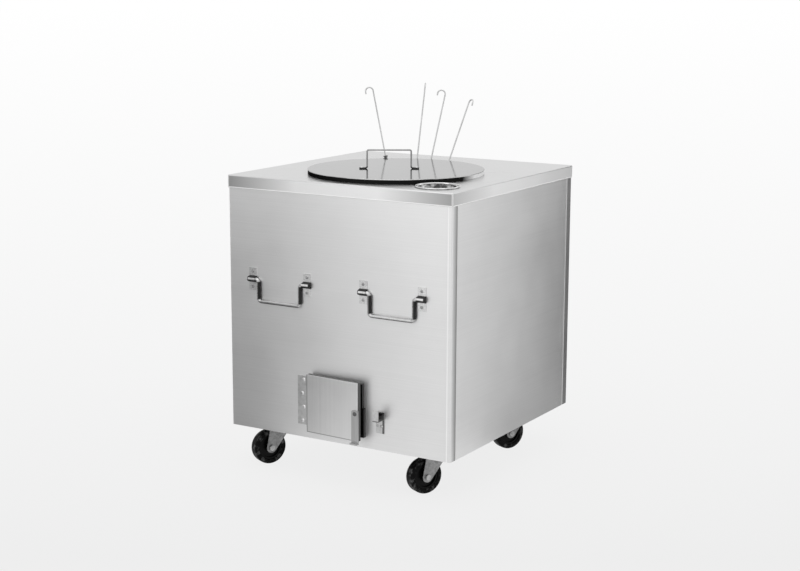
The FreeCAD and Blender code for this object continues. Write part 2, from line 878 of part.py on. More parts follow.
# Lid, bowl and skewers
def lid_plate():
    """Polished disc on top of the rim band, drilled for the handle's rivets."""
    disc = drum(lid_radius, lid_bottom_z + rim_height, lid_top_z, lid_x, lid_y)
    top_edge = [e for e in disc.Edges if len(e.Vertexes) == 1 and e.Vertexes[0].Z > lid_top_z - lid_round]
    disc = disc.makeFillet(lid_round, top_edge)
    holes = []
    for x, y in lid_rivet_spots():
        holes.append(drum(screw_radius, lid_bottom_z + rim_height, lid_top_z, x, y))
    return disc.cut(holes)


def lid_rim():
    """Black band under the lid's edge."""
    outer = drum(lid_radius - rim_inset, lid_bottom_z, lid_bottom_z + rim_height, lid_x, lid_y)
    inner_radius = lid_radius - rim_inset - rim_sheet
    return outer.cut(drum(inner_radius, lid_bottom_z, lid_bottom_z + rim_height, lid_x, lid_y))


def lid_rivet_spots():
    """Rivet centres in the two feet of the lid's handle."""
    reach = lid_handle_span / 2 + lid_rivet_from_leg
    turn = math.radians(lid_handle_turn)
    spots = []
    for side in (-1, 1):
        x = lid_handle_x + side * reach * math.cos(turn)
        y = lid_handle_y + side * reach * math.sin(turn)
        spots.append((x, y))
    return spots


def lid_handle():
    """Bent rod on two flat feet, drawn along X and then turned."""
    half = lid_handle_span / 2
    seat_z = lid_top_z + lid_foot_sheet / 2
    top_z = lid_top_z + lid_handle_height
    corners = [(-half, seat_z), (-half, top_z), (half, top_z), (half, seat_z)]
    points = [Vector(lid_handle_x + dx, lid_handle_y, z) for dx, z in corners]
    handle = rod(bent_path(points, lid_handle_bend), lid_handle_radius)
    for side in (-1, 1):
        inner = half - lid_handle_radius
        xs = sorted((lid_handle_x + side * inner, lid_handle_x + side * (inner + lid_foot_length)))
        ys = (lid_handle_y - lid_foot_width / 2, lid_handle_y + lid_foot_width / 2)
        foot = box(*xs, *ys, lid_top_z, lid_top_z + lid_foot_sheet)
        handle = handle.fuse(foot)
    handle = handle.removeSplitter()
    handle.rotate(Vector(lid_handle_x, lid_handle_y, 0), UP, lid_handle_turn)
    holes = []
    for x, y in lid_rivet_spots():
        holes.append(drum(screw_radius, lid_top_z, lid_top_z + lid_foot_sheet, x, y))
    return handle.cut(holes)


def lid_rivets():
    """Rivets through the handle's feet and the lid."""
    length = lid_foot_sheet + lid_sheet
    rivets = []
    for x, y in lid_rivet_spots():
        at = Vector(x, y, lid_top_z + lid_foot_sheet)
        rivets.append(dome_screw(at, UP, screw_head_radius, screw_head_height, screw_radius, length))
    return Part.makeCompound(rivets)


def bowl_cap(radius, depth, z):
    """Solid spherical cap that hangs down from a circle."""
    ball = (radius ** 2 + depth ** 2) / (2 * depth)
    centre_z = z - depth + ball
    half = math.atan2(radius, centre_z - z) / 2
    brim = Vector(radius, 0, z)
    low = Vector(0, 0, z - depth)
    middle = Vector(ball * math.sin(half), 0, centre_z - ball * math.cos(half))
    edges = [
        Part.LineSegment(Vector(0, 0, z), brim).toShape(),
        Part.Arc(brim, middle, low).toShape(),
        Part.LineSegment(low, Vector(0, 0, z)).toShape(),
    ]
    return Part.Face(Part.Wire(edges)).revolve(Vector(0, 0, 0), UP, 360)


def water_bowl():
    """Spun round bowl that hangs in the table by a flat rim with a rolled bead."""
    rim_z = table_z + face_gap
    shell = bowl_cap(bowl_radius, bowl_depth, rim_z)
    rim = drum(bowl_rim, rim_z, rim_z + bowl_sheet)
    bead = Part.makeTorus(bowl_rim, bowl_bead, Vector(0, 0, rim_z + bowl_bead))
    hollow = bowl_cap(bowl_radius - bowl_sheet, bowl_depth - bowl_sheet, rim_z)
    mouth = drum(bowl_radius - bowl_sheet, rim_z, rim_z + bowl_sheet)
    bowl = shell.fuse([rim, bead]).removeSplitter().cut(hollow.fuse(mouth).removeSplitter())
    bowl.translate(Vector(bowl_x, bowl_y, 0))
    return bowl


def skewer_line(foot_x, foot_y, rim_angle):
    """Foot on the grate, resting point on the mouth's rim, and unit direction between them."""
    foot = Vector(foot_x, foot_y, grate_top_z + face_gap)
    rim = mouth_radius - skewer_radius - skewer_rim_gap
    turn = math.radians(rim_angle)
    rest = Vector(rim * math.cos(turn), rim * math.sin(turn), table_z)
    return foot, rest, (rest - foot).normalize()


def skewer(foot_x, foot_y, rim_angle, above_table, hook_angle):
    """Pointed rod that leans on the mouth's rim and ends in a hook."""
    foot, rest, along = skewer_line(foot_x, foot_y, rim_angle)
    turn = math.radians(hook_angle)
    level = Vector(math.cos(turn), math.sin(turn), 0)
    across = (level - along * level.dot(along)).normalize()
    start = foot + along * skewer_point
    top = rest + along * above_table
    crown = top + across * skewer_hook_radius + along * skewer_hook_radius
    turned = top + across * skewer_hook_radius * 2
    edges = [
        Part.LineSegment(start, top).toShape(),
        Part.Arc(top, crown, turned).toShape(),
        Part.LineSegment(turned, turned - along * skewer_hook_tail).toShape(),
    ]
    point = Part.makeCone(skewer_tip_radius, skewer_radius, skewer_point, foot, along)
    return rod(edges, skewer_radius).fuse(point).removeSplitter()


def skewer_cup():
    """Small dark cup, open at the top, clamped on the first skewer just above the table."""
    foot, rest, along = skewer_line(skewer_1_foot_x, skewer_1_foot_y, skewer_1_rim_angle)
    seat = rest + along * cup_above_table
    rim = seat + along * cup_height
    body = Part.makeCone(cup_radius / 2, cup_radius, cup_height, seat, along)
    hollow = Part.makeCone(cup_radius / 2, cup_radius, cup_height, seat + along * skewer_radius, along)
    bore = Part.makeCylinder(skewer_radius, (rim - seat).Length, seat, along)
    return body.cut([hollow, bore])


# Casters, drawn straight about the Z axis and then turned and moved
def place_caster(shape, spot):
    """Turns a caster piece to its stored heading and moves it under its corner."""
    placed = shape.copy()
    placed.rotate(Vector(0, 0, 0), UP, caster_turn)
    placed.translate(Vector(*spot, 0))
    return placed


def caster_plates():
    """Bolted plates with their ball race ring, one under each corner."""
    half = caster_plate_size / 2
    plate = rounded_square(half, caster_plate_round, base_z - caster_plate_sheet, base_z)
    race = drum(race_radius, race_foot_z, base_z - caster_plate_sheet)
    holes = [drum(kingpin_radius, race_foot_z, base_z)]
    for sx in (-1, 1):
        for sy in (-1, 1):
            x = sx * caster_bolt_offset
            y = sy * caster_bolt_offset
            holes.append(drum(bolt_radius, base_z - caster_plate_sheet, base_z, x, y))
    plate = plate.fuse(race).removeSplitter().cut(holes)
    plates = []
    for spot in caster_spots().values():
        copy = plate.copy()
        copy.translate(Vector(*spot, 0))
        plates.append(copy)
    return Part.makeCompound(plates)


def kingpins():
    """Swivel pins, headed under the forks and riveted over in the plates."""
    head_top_z = fork_top_z - fork_sheet - face_gap
    pins = []
    for x, y in caster_spots().values():
        pin = drum(kingpin_radius, head_top_z, base_z, x, y)
        head = drum(kingpin_head_radius, head_top_z - kingpin_head_height, head_top_z, x, y)
        pins.append(pin.fuse(head).removeSplitter())
    return Part.makeCompound(pins)


def caster_bolts():
    """Bolts up through the caster plates and the base, with nuts inside."""
    seat_z = base_z - caster_plate_sheet
    solids = []
    for x, y in caster_bolt_spots():
        shank = drum(bolt_radius, seat_z, base_top_z + nut_height + bolt_tail / 2, x, y)
        head = hexagon(bolt_head_across, bolt_head_height, Vector(x, y, seat_z - bolt_head_height), UP)
        nut = hexagon(bolt_head_across, nut_height, Vector(x, y, base_top_z), UP)
        solids.append(shank.fuse(head).removeSplitter())
        solids.append(nut.cut(drum(bolt_radius, base_top_z, base_top_z + nut_height, x, y)))
    return Part.makeCompound(solids)


def tangent_point(px, pz, cx, cz, radius, side):
    """Where a line from a point touches a circle; side +1 or -1 picks the touch."""
    dx = px - cx
    dz = pz - cz
    reach = math.hypot(dx, dz)
    turn = math.atan2(dz, dx) + side * math.acos(radius / reach)
    return cx + radius * math.cos(turn), cz + radius * math.sin(turn)


def caster_fork():
    """Raked fork: crown plate under the race and two legs down to the axle."""
    crown_foot_z = fork_top_z - fork_sheet
    crown = box(-fork_outer_half, fork_outer_half, -fork_front, fork_rear, crown_foot_z, fork_top_z)
    axle_y = -caster_trail
    rear = tangent_point(fork_rear, crown_foot_z, axle_y, wheel_radius, fork_lobe_radius, -1)
    front = tangent_point(-fork_front, crown_foot_z, axle_y, wheel_radius, fork_lobe_radius, 1)
    outline = [(-fork_front, crown_foot_z), (fork_rear, crown_foot_z), rear, (axle_y, wheel_radius), front]
    pieces = []
    for x0 in (-fork_outer_half, fork_inner_half):
        points = [Vector(x0, y, z) for y, z in outline]
        pieces.append(plate_outline(points, Vector(fork_sheet, 0, 0)))
        pieces.append(drum_x(fork_lobe_radius, x0, x0 + fork_sheet, axle_y, wheel_radius))
    fork = crown.fuse(pieces).removeSplitter()
    pin_hole = drum(kingpin_radius + running_clearance, crown_foot_z, fork_top_z)
    axle_hole = drum_x(axle_radius, -fork_outer_half, fork_outer_half, axle_y, wheel_radius)
    return fork.cut([pin_hole, axle_hole])


def caster_axle():
    """Axle bolt through the fork, with its nut."""
    axle_y = -caster_trail
    tail = fork_outer_half + axle_head_height + bolt_tail
    along = Vector(1, 0, 0)
    shank = drum_x(axle_radius, -tail, fork_outer_half, axle_y, wheel_radius)
    head = hexagon(axle_head_across, axle_head_height, Vector(fork_outer_half, axle_y, wheel_radius), along)
    nut_at = Vector(-fork_outer_half - axle_head_height, axle_y, wheel_radius)
    nut = hexagon(axle_head_across, axle_head_height, nut_at, along)
    nut = nut.cut(drum_x(axle_radius, -tail, -fork_outer_half, axle_y, wheel_radius))
    return Part.makeCompound([shank.fuse(head).removeSplitter(), nut])


def wheel_core():
    """Moulded wheel centre with a hub and a ring groove in each face."""
    axle_y = -caster_trail
    half = core_width / 2
    core = drum_x(core_radius, -half, half, axle_y, wheel_radius)
    hub = drum_x(hub_radius, -hub_length / 2, hub_length / 2, axle_y, wheel_radius)
    grooves = []
    for x0 in (-half, half - core_groove_depth):
        x1 = x0 + core_groove_depth
        ring = drum_x(core_groove_outer, x0, x1, axle_y, wheel_radius)
        grooves.append(ring.cut(drum_x(hub_radius, x0, x1, axle_y, wheel_radius)))
    bore = drum_x(axle_radius + running_clearance, -hub_length / 2, hub_length / 2, axle_y, wheel_radius)
    return core.cut(grooves).fuse(hub).removeSplitter().cut(bore)


def wheel_tyre():
    """Solid rubber tyre with rounded shoulders."""
    axle_y = -caster_trail
    half = wheel_width / 2
    tyre = drum_x(wheel_radius, -half, half, axle_y, wheel_radius)
    tyre = tyre.makeFillet(wheel_shoulder, [e for e in tyre.Edges if len(e.Vertexes) == 1])
    return tyre.cut(drum_x(core_radius, -half, half, axle_y, wheel_radius))


def all_pieces():
    """Every piece by node name."""
    pieces = {
        "base_frame": angle_ring(base_top_z, False),
        "top_frame": angle_ring(under_z - frame_leg, True),
        "corner_posts": corner_posts(),
        "base_plate": base_plate(),
        "front_panel": front_panel(),
        "back_panel": back_panel(),
        "left_panel": side_panel(-1),
        "right_panel": side_panel(1),
        "table_top": table_top(),
        "mouth_collar": mouth_collar(),
        "clay_pot": clay_pot(),
        "hearth_slab": drum(hearth_radius, base_top_z, hearth_top_z),
        "fire_grate": fire_grate(),
        "insulation": insulation(),
        "ash_duct": ash_duct(),
        "hinge_fixed_leaf": hinge_fixed_leaf(),
        "hinge_pin": drum(hinge_pin_radius, hinge_foot_z, hinge_foot_z + hinge_length, hinge_x, hinge_y),
        "keeper": keeper(),
        "flush_screws": flush_screws(),
        "keeper_buffer": keeper_buffer(),
        "handle_saddles": handle_saddles(),
        "saddle_screws": saddle_screws(),
        "caster_plates": caster_plates(),
        "kingpins": kingpins(),
        "caster_bolts": caster_bolts(),
        "left_handle": bail_handle(left_handle_x),
        "right_handle": bail_handle(right_handle_x),
        "lid_plate": lid_plate(),
        "lid_rim": lid_rim(),
        "lid_handle": lid_handle(),
        "lid_rivets": lid_rivets(),
        "water_bowl": water_bowl(),
        "skewer_cup": skewer_cup(),
    }
    door_pieces = {
        "door_face": door_face(),
        "door_tray": door_tray(),
        "door_insulation": door_insulation(),
        "hinge_door_leaf": hinge_door_leaf(),
        "leaf_rivets": leaf_rivets(),
        "latch_pivot": latch_pivot(),
        "latch_bar": latch_bar(),
    }
    for name, shape in door_pieces.items():
        pieces[name] = on_door(shape)
    skewer_1_lean = (skewer_1_foot_x, skewer_1_foot_y, skewer_1_rim_angle)
    skewer_2_lean = (skewer_2_foot_x, skewer_2_foot_y, skewer_2_rim_angle)
    skewer_3_lean = (skewer_3_foot_x, skewer_3_foot_y, skewer_3_rim_angle)
    skewer_4_lean = (skewer_4_foot_x, skewer_4_foot_y, skewer_4_rim_angle)
    pieces["skewer_1"] = skewer(*skewer_1_lean, skewer_1_above_table, skewer_1_hook_angle)
    pieces["skewer_2"] = skewer(*skewer_2_lean, skewer_2_above_table, skewer_2_hook_angle)
    pieces["skewer_3"] = skewer(*skewer_3_lean, skewer_3_above_table, skewer_3_hook_angle)
    pieces["skewer_4"] = skewer(*skewer_4_lean, skewer_4_above_table, skewer_4_hook_angle)
    caster_pieces = {
        "caster_fork": caster_fork(),
        "caster_axle": caster_axle(),
        "wheel_core": wheel_core(),
        "wheel_tyre": wheel_tyre(),
    }
    for corner, spot in caster_spots().items():
        for name, shape in caster_pieces.items():
            pieces[name + "_" + corner] = place_caster(shape, spot)
    return pieces


os.makedirs("parts", exist_ok=True)
for node, shape in all_pieces().items():
    print(node, "valid" if shape.isValid() else "INVALID", len(shape.Solids), "solids", round(shape.Volume))
    shape.exportStep("parts/" + node + ".step")
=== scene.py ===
import json
import math

import bmesh
import bpy
import numpy as np
from mathutils import Matrix, Vector


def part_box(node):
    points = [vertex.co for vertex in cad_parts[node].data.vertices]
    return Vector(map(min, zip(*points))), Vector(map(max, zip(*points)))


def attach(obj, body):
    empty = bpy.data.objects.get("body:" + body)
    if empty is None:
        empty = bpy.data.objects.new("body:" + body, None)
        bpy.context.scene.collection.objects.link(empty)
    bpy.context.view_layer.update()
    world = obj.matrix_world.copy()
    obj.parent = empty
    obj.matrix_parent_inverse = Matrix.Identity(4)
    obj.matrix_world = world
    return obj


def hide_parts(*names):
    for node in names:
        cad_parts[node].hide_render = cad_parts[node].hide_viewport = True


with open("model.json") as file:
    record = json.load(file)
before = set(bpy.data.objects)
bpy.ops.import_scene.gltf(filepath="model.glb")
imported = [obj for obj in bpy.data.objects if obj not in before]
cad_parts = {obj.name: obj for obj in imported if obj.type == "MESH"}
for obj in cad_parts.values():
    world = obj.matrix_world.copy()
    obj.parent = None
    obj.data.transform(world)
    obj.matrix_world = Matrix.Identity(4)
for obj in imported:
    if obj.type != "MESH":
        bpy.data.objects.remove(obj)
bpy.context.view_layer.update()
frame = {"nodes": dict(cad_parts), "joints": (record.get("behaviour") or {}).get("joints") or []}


# Camera: the photo's view, from the front right and a little above the table.
# Its place and lens come from fitting the edges of the table and the casing in the photo.
camera_place = Vector((2.4799, -4.1408, 1.4809))
camera_yaw = math.radians(-31.071)
camera_dip = math.radians(11.132)
camera_roll = math.radians(0.187)
camera_lens = 72.002
sensor_width = 36.0
view_depth = 300.0

ahead = Vector((
    math.sin(camera_yaw) * math.cos(camera_dip),
    math.cos(camera_yaw) * math.cos(camera_dip),
    -math.sin(camera_dip),
))
level = Vector((math.cos(camera_yaw), -math.sin(camera_yaw), 0.0))
upright = level.cross(ahead)
sideways = level * math.cos(camera_roll) + upright * math.sin(camera_roll)
upward = upright * math.cos(camera_roll) - level * math.sin(camera_roll)
camera = bpy.data.objects.new("camera", bpy.data.cameras.new("camera"))
camera.data.lens = camera_lens
camera.data.sensor_width = sensor_width
camera.data.clip_end = view_depth
camera_axes = Matrix((sideways, upward, -ahead)).transposed()
camera.matrix_world = Matrix.Translation(camera_place) @ camera_axes.to_4x4()
bpy.context.scene.collection.objects.link(camera)
bpy.context.scene.camera = camera
bpy.context.scene.view_settings.view_transform = "Standard"


# Studio floor: pale paper that takes a soft shadow under the oven and lightens towards the back,
# as a paper sweep under a studio lamp does. Its glow grows with the distance from the camera's foot.
def add(tree, kind, feeds=None, **settings):
    """Adds one node: settings are its options, feeds are values or sockets for its inputs."""
    node = tree.nodes.new(kind)
    for option, value in settings.items():
        setattr(node, option, value)
    for socket, value in (feeds or {}).items():
        if isinstance(value, bpy.types.NodeSocket):
            tree.links.new(value, node.inputs[socket])
        else:
            node.inputs[socket].default_value = value
    return node


def linear(code):
    """sRGB hex to linear red, green, blue, alpha."""
    parts = np.array([int(code[k:k + 2], 16) for k in (1, 3, 5)]) / 255.0
    low = parts / 12.92
    high = ((parts + 0.055) / 1.055) ** 2.4
    return tuple(np.where(parts <= 0.04045, low, high)) + (1.0,)


def new_finish(name):
    """An empty node material, its tree and its output."""
    finish = bpy.data.materials.new(name)
    finish.use_nodes = True
    finish.node_tree.nodes.clear()
    return finish, finish.node_tree, add(finish.node_tree, "ShaderNodeOutputMaterial")


def reckon(tree, operation, *values):
    """One sum or comparison of up to three values or sockets."""
    return add(tree, "ShaderNodeMath", dict(enumerate(values)), operation=operation).outputs[0]


def seen_directly(tree):
    """1 for rays that show the surroundings: from the camera, off gloss, or through glass."""
    path = add(tree, "ShaderNodeLightPath")
    shown = reckon(tree, "MAXIMUM", path.outputs["Is Camera Ray"], path.outputs["Is Glossy Ray"])
    return reckon(tree, "MAXIMUM", shown, path.outputs["Is Transmission Ray"])


floor_reach = 80.0
paper_start = 4.9
paper_edge = 4.0
paper_white = 1.05
paper_fall = 0.727
paper_share = 0.92
floor_finish, tree, output = new_finish("pale_studio_paper")
place = add(tree, "ShaderNodeTexCoord")
depth = add(tree, "ShaderNodeVectorMath", operation="DOT_PRODUCT",
            feeds={0: place.outputs["Object"], 1: (ahead.x, ahead.y, 0.0)}).outputs["Value"]
away = reckon(tree, "MAXIMUM", reckon(tree, "ADD", depth, paper_start), paper_edge)
glow = reckon(tree, "SUBTRACT", paper_white, reckon(tree, "DIVIDE", paper_fall, away))
share = reckon(tree, "MULTIPLY", paper_share, seen_directly(tree))
matt = add(tree, "ShaderNodeBsdfDiffuse", {"Color": linear("#dadada")})
white = add(tree, "ShaderNodeEmission", {"Color": (1.0, 1.0, 1.0, 1.0), "Strength": glow})
paper = add(tree, "ShaderNodeMixShader", {0: share, 1: matt.outputs[0], 2: white.outputs[0]})
tree.links.new(paper.outputs[0], output.inputs["Surface"])
floor_mesh = bpy.data.meshes.new("floor")
floor_corners = [(-floor_reach, -floor_reach, 0), (floor_reach, -floor_reach, 0),
                 (floor_reach, floor_reach, 0), (-floor_reach, floor_reach, 0)]
floor_mesh.from_pydata(floor_corners, [], [(0, 1, 2, 3)])
floor_mesh.materials.append(floor_finish)
floor = bpy.data.objects.new("floor", floor_mesh)
bpy.context.scene.collection.objects.link(floor)


# Studio light: white surroundings, two softboxes and one lamp panel overhead.
# Grey cards close to the oven, which only reflections show, give the bright steel its dark flanks.
world = bpy.data.worlds.new("studio")
bpy.context.scene.world = world
world.use_nodes = True
world.node_tree.nodes.clear()
tree = world.node_tree
room_light = 0.80
room_shown = 1.0
strength = add(tree, "ShaderNodeMapRange", {"Value": seen_directly(tree), "To Min": room_light,
                                            "To Max": room_shown})
surround = add(tree, "ShaderNodeBackground", {"Color": (1, 1, 1, 1), "Strength": strength.outputs[0]})
add(tree, "ShaderNodeOutputWorld", {"Surface": surround.outputs[0]})


def softbox(name, stand, aim, width, height, watts):
    """A rectangular lamp on its stand, turned to face a point."""
    lamp = bpy.data.lights.new(name, "AREA")
    lamp.shape = "RECTANGLE"
    lamp.size = width
    lamp.size_y = height
    lamp.energy = watts
    box = bpy.data.objects.new(name, lamp)
    facing = (Vector(aim) - Vector(stand)).to_track_quat("-Z", "Y")
    box.matrix_world = Matrix.Translation(stand) @ facing.to_matrix().to_4x4()
    bpy.context.scene.collection.objects.link(box)


softbox("softbox_front", (-1.0, -3.4, 1.5), (0.0, -0.4, 0.6), 1.4, 1.8, 9.0)
softbox("softbox_right", (3.4, 2.6, 1.5), (0.4, 0.0, 0.6), 1.8, 1.8, 9.0)
softbox("softbox_above", (0.3, -0.6, 3.2), (0.0, 0.0, 0.9), 2.4, 2.4, 18.0)


def grey_card(name, grey, *corners):
    """A flat card through its corner points, which only reflections show."""
    finish, tree, output = new_finish(name + "_paper")
    paper = add(tree, "ShaderNodeEmission", {"Color": linear(grey), "Strength": 1.0})
    tree.links.new(paper.outputs[0], output.inputs["Surface"])
    mesh = bpy.data.meshes.new(name)
    mesh.from_pydata(corners, [], [tuple(range(len(corners)))])
    mesh.materials.append(finish)
    card = bpy.data.objects.new(name, mesh)
    bpy.context.scene.collection.objects.link(card)
    card.visible_camera = False
    card.visible_diffuse = False
    card.visible_shadow = False


lift = 0.004
left_far, left_near, left_y = -2.6, -0.62, -1.25
left_split, left_top = 0.42, 0.98
right_near, right_far, right_y, right_top = 0.42, 0.98, 1.0, 0.98
grey_card("card_front_left_high", "#a2a2a2",
          (left_far, left_y, left_split), (left_near, left_y, left_split),
          (left_near, left_y, left_top), (left_far, left_y, left_top))
grey_card("card_front_left_low", "#787878",
          (left_far, left_y, lift), (left_near, left_y, lift),
          (left_near, left_y, left_split), (left_far, left_y, left_split))
grey_card("card_front_left_floor", "#8c8c8c",
          (left_far, left_y, lift), (left_near, left_y, lift), (-0.25, -0.45, lift), (-1.8, -0.45, lift))
grey_card("card_rear_right", "#080808",
          (right_near, right_y, lift), (right_far, right_y, lift),
          (right_far, right_y, right_top), (right_near, right_y, right_top))
grey_card("card_rear_right_floor", "#8c8c8c",
          (0.40, 0.15, lift), (0.75, 0.15, lift), (right_far, right_y, lift), (right_near, right_y, lift))


# Welded frame: angle rings at top and bottom, corner posts and the floor sheet, of mild steel.
# It is hidden by the casing, and sprayed with grey primer over the welds.
def paint(finish, *names):
    """Gives CAD nodes a finish in place of their plain one."""
    for name in names:
        slots = frame["nodes"][name].data.materials
        slots.clear()
        slots.append(finish)


noise_low, noise_high = 0.3, 0.7
matt_clouds, matt_cloud_share = 18.0, 0.5
grit_height = 0.25


def stretched(tree, noise, low=0.0, high=1.0):
    """A noise whose usual range, noise_low to noise_high, is drawn out from low to high."""
    return add(tree, "ShaderNodeMapRange", {"Value": noise, "From Min": noise_low, "From Max": noise_high,
                                            "To Min": low, "To Max": high}).outputs[0]


def matt_finish(name, light, dark, grit_mm, rough, relief, metallic=0.0, shine=0.5, marks=None):
    """A paint, clay, stone, rubber or plastic: grain of one real size moves its tone, gloss and relief;
    marks changes the colour, gloss and metal in places, for wear and for painted light."""
    finish, tree, output = new_finish(name)
    place = add(tree, "ShaderNodeTexCoord").outputs["Object"]
    grit = add(tree, "ShaderNodeTexNoise", {"Vector": place, "Scale": 1000.0 / grit_mm, "Detail": 3.0})
    cloud = add(tree, "ShaderNodeTexNoise", {"Vector": place, "Scale": matt_clouds, "Detail": 4.0})
    blend = add(tree, "ShaderNodeMix", data_type="FLOAT",
                feeds={0: matt_cloud_share, 2: grit.outputs["Fac"], 3: cloud.outputs["Fac"]})
    colour = add(tree, "ShaderNodeMix", data_type="RGBA",
                 feeds={0: stretched(tree, blend.outputs[0]), 6: linear(dark), 7: linear(light)})
    gloss = stretched(tree, cloud.outputs["Fac"], *rough)
    bump = add(tree, "ShaderNodeBump", {"Height": grit.outputs["Fac"], "Strength": relief,
                                        "Distance": grit_height * grit_mm / 1000.0})
    looks = (colour.outputs[2], gloss, metallic)
    if marks:
        looks = marks(tree, place, *looks)
    body = add(tree, "ShaderNodeBsdfPrincipled", {"Base Color": looks[0], "Metallic": looks[2],
                                                  "Roughness": looks[1], "Normal": bump.outputs[0],
                                                  "Specular IOR Level": shine})
    tree.links.new(body.outputs[0], output.inputs["Surface"])
    return finish


# Sprayed primer: flat mid grey with a faint orange-peel grain.
paint(matt_finish("grey_primer_on_steel", "#7a7a78", "#5e5e5c", 1.5, (0.5, 0.7), 0.15),
      "base_frame", "base_plate", "corner_posts", "top_frame")


# Caster mounts: pressed plates with a ball race, bolted up through the base; a kingpin holds each fork.
# The plates, bolts and pins are mild steel with bright zinc plate.
steel_clouds, steel_cloud_share = 7.0, 0.4
brush_depth = 0.0003


def steel_finish(name, light, dark, grain, rough, relief=0.1, graze=1.0, marks=None):
    """Steel: streaks along the grain and soft clouds move its grey and its gloss.
    grain is the streaks per metre along X, Y and Z; rough is the lowest and highest roughness;
    graze dims it at a low angle, as real steel is dimmer there than a perfect mirror;
    marks changes the grey, gloss and metal in places: dark lines, dull spots, and painted light and shade."""
    finish, tree, output = new_finish(name)
    place = add(tree, "ShaderNodeTexCoord").outputs["Object"]
    drawn = add(tree, "ShaderNodeMapping", {"Vector": place, "Scale": grain}).outputs[0]
    streak = add(tree, "ShaderNodeTexNoise", {"Vector": drawn, "Scale": 1.0, "Detail": 4.0, "Roughness": 0.6})
    cloud = add(tree, "ShaderNodeTexNoise", {"Vector": place, "Scale": steel_clouds, "Detail": 3.0,
                                             "Roughness": 0.55})
    blend = add(tree, "ShaderNodeMix", data_type="FLOAT",
                feeds={0: steel_cloud_share, 2: streak.outputs["Fac"], 3: cloud.outputs["Fac"]})
    grey = add(tree, "ShaderNodeMix", data_type="RGBA",
               feeds={0: stretched(tree, blend.outputs[0]), 6: linear(dark), 7: linear(light)})
    gloss = stretched(tree, blend.outputs[0], *rough)
    bump = add(tree, "ShaderNodeBump", {"Height": streak.outputs["Fac"], "Strength": relief,
                                        "Distance": brush_depth})
    looks = (grey.outputs[2], gloss, 1.0)
    if marks:
        looks = marks(tree, place, *looks)
    steel = add(tree, "ShaderNodeBsdfPrincipled", {"Base Color": looks[0], "Metallic": looks[2],
                                                   "Roughness": looks[1], "Normal": bump.outputs[0],
                                                   "Specular Tint": (graze, graze, graze, 1.0)})
    tree.links.new(steel.outputs[0], output.inputs["Surface"])
    return finish


# Zinc plate: cool grey with a cloudy, spangled gloss about 8 mm across.
zinc = steel_finish("zinc_plate", "#cacaca", "#8c8c8c", (120, 120, 120), (0.3, 0.5))
paint(zinc, "caster_plates", "kingpins", "caster_bolts")


# Caster forks and axle bolts: pressed legs down from the crown plate, raked back to the axle.
# Galvanised steel.
sharp_from = math.radians(40.0)


def soften(width, *names):
    """Rounds the sharp edges of CAD nodes by a bevel of that width."""
    for name in names:
        bevel = frame["nodes"][name].modifiers.new("rounded_edges", "BEVEL")
        bevel.width = width
        bevel.segments = 2
        bevel.limit_method = "ANGLE"
        bevel.angle_limit = sharp_from


corners = ("front_left", "front_right", "rear_left", "rear_right")
# Galvanised sheet: mid grey, mottled by zinc crystals about 6 mm across.
galvanised = steel_finish("galvanised_fork_steel", "#b0b0b0", "#5c5c5c", (110, 110, 110), (0.36, 0.52), 0.2)
for corner in corners:
    paint(galvanised, "caster_fork_" + corner)
    paint(zinc, "caster_axle_" + corner)


# Wheels: moulded plastic centres with a solid rubber tyre pressed on, turning on the axle bolt.
# The tyre is a new piece with a crowned tread and two moulded rings in each side.
def surface(name, grid, wrap_u=False, wrap_v=False):
    """Mesh over an array of points [u, v, xyz]: each point is joined to its next in u and in v.
    Points that fall together, as at a pole, are merged, and the faces are turned outwards."""
    rows, columns = grid.shape[:2]
    index = np.arange(rows * columns).reshape(rows, columns)
    if wrap_u:
        index = np.concatenate([index, index[:1]], axis=0)
    if wrap_v:
        index = np.concatenate([index, index[:, :1]], axis=1)
    quads = np.stack([index[:-1, :-1], index[1:, :-1], index[1:, 1:], index[:-1, 1:]], axis=-1)
    mesh = bpy.data.meshes.new(name)
    mesh.from_pydata(grid.reshape(-1, 3).tolist(), [], quads.reshape(-1, 4).tolist())
    shell = bmesh.new()
    shell.from_mesh(mesh)
    bmesh.ops.remove_doubles(shell, verts=shell.verts, dist=1e-6)
    bmesh.ops.recalc_face_normals(shell, faces=shell.faces)
    shell.to_mesh(mesh)
    shell.free()
    mesh.shade_smooth()
    return mesh


def put_piece(name, mesh, finish, body, slot, *nodes):
    """Links a new piece, gives it its finish and body, and hides the CAD nodes that it stands for; slot is
    not used.
    """
    mesh.materials.append(finish)
    piece = bpy.data.objects.new(name, mesh)
    bpy.context.scene.collection.objects.link(piece)
    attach(piece, body)
    if nodes:
        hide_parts(*nodes)
    return piece


joint_of = {joint["name"]: joint for joint in frame["joints"]}
tyre_width = 0.032
tyre_bore = 0.0375
tyre_ring_depth = 0.0012
tyre_ring_width = 0.0016
tyre_rings = (0.30, 0.66)
tyre_power = 5.0
tyre_steps_round, tyre_steps_across = 96, 160


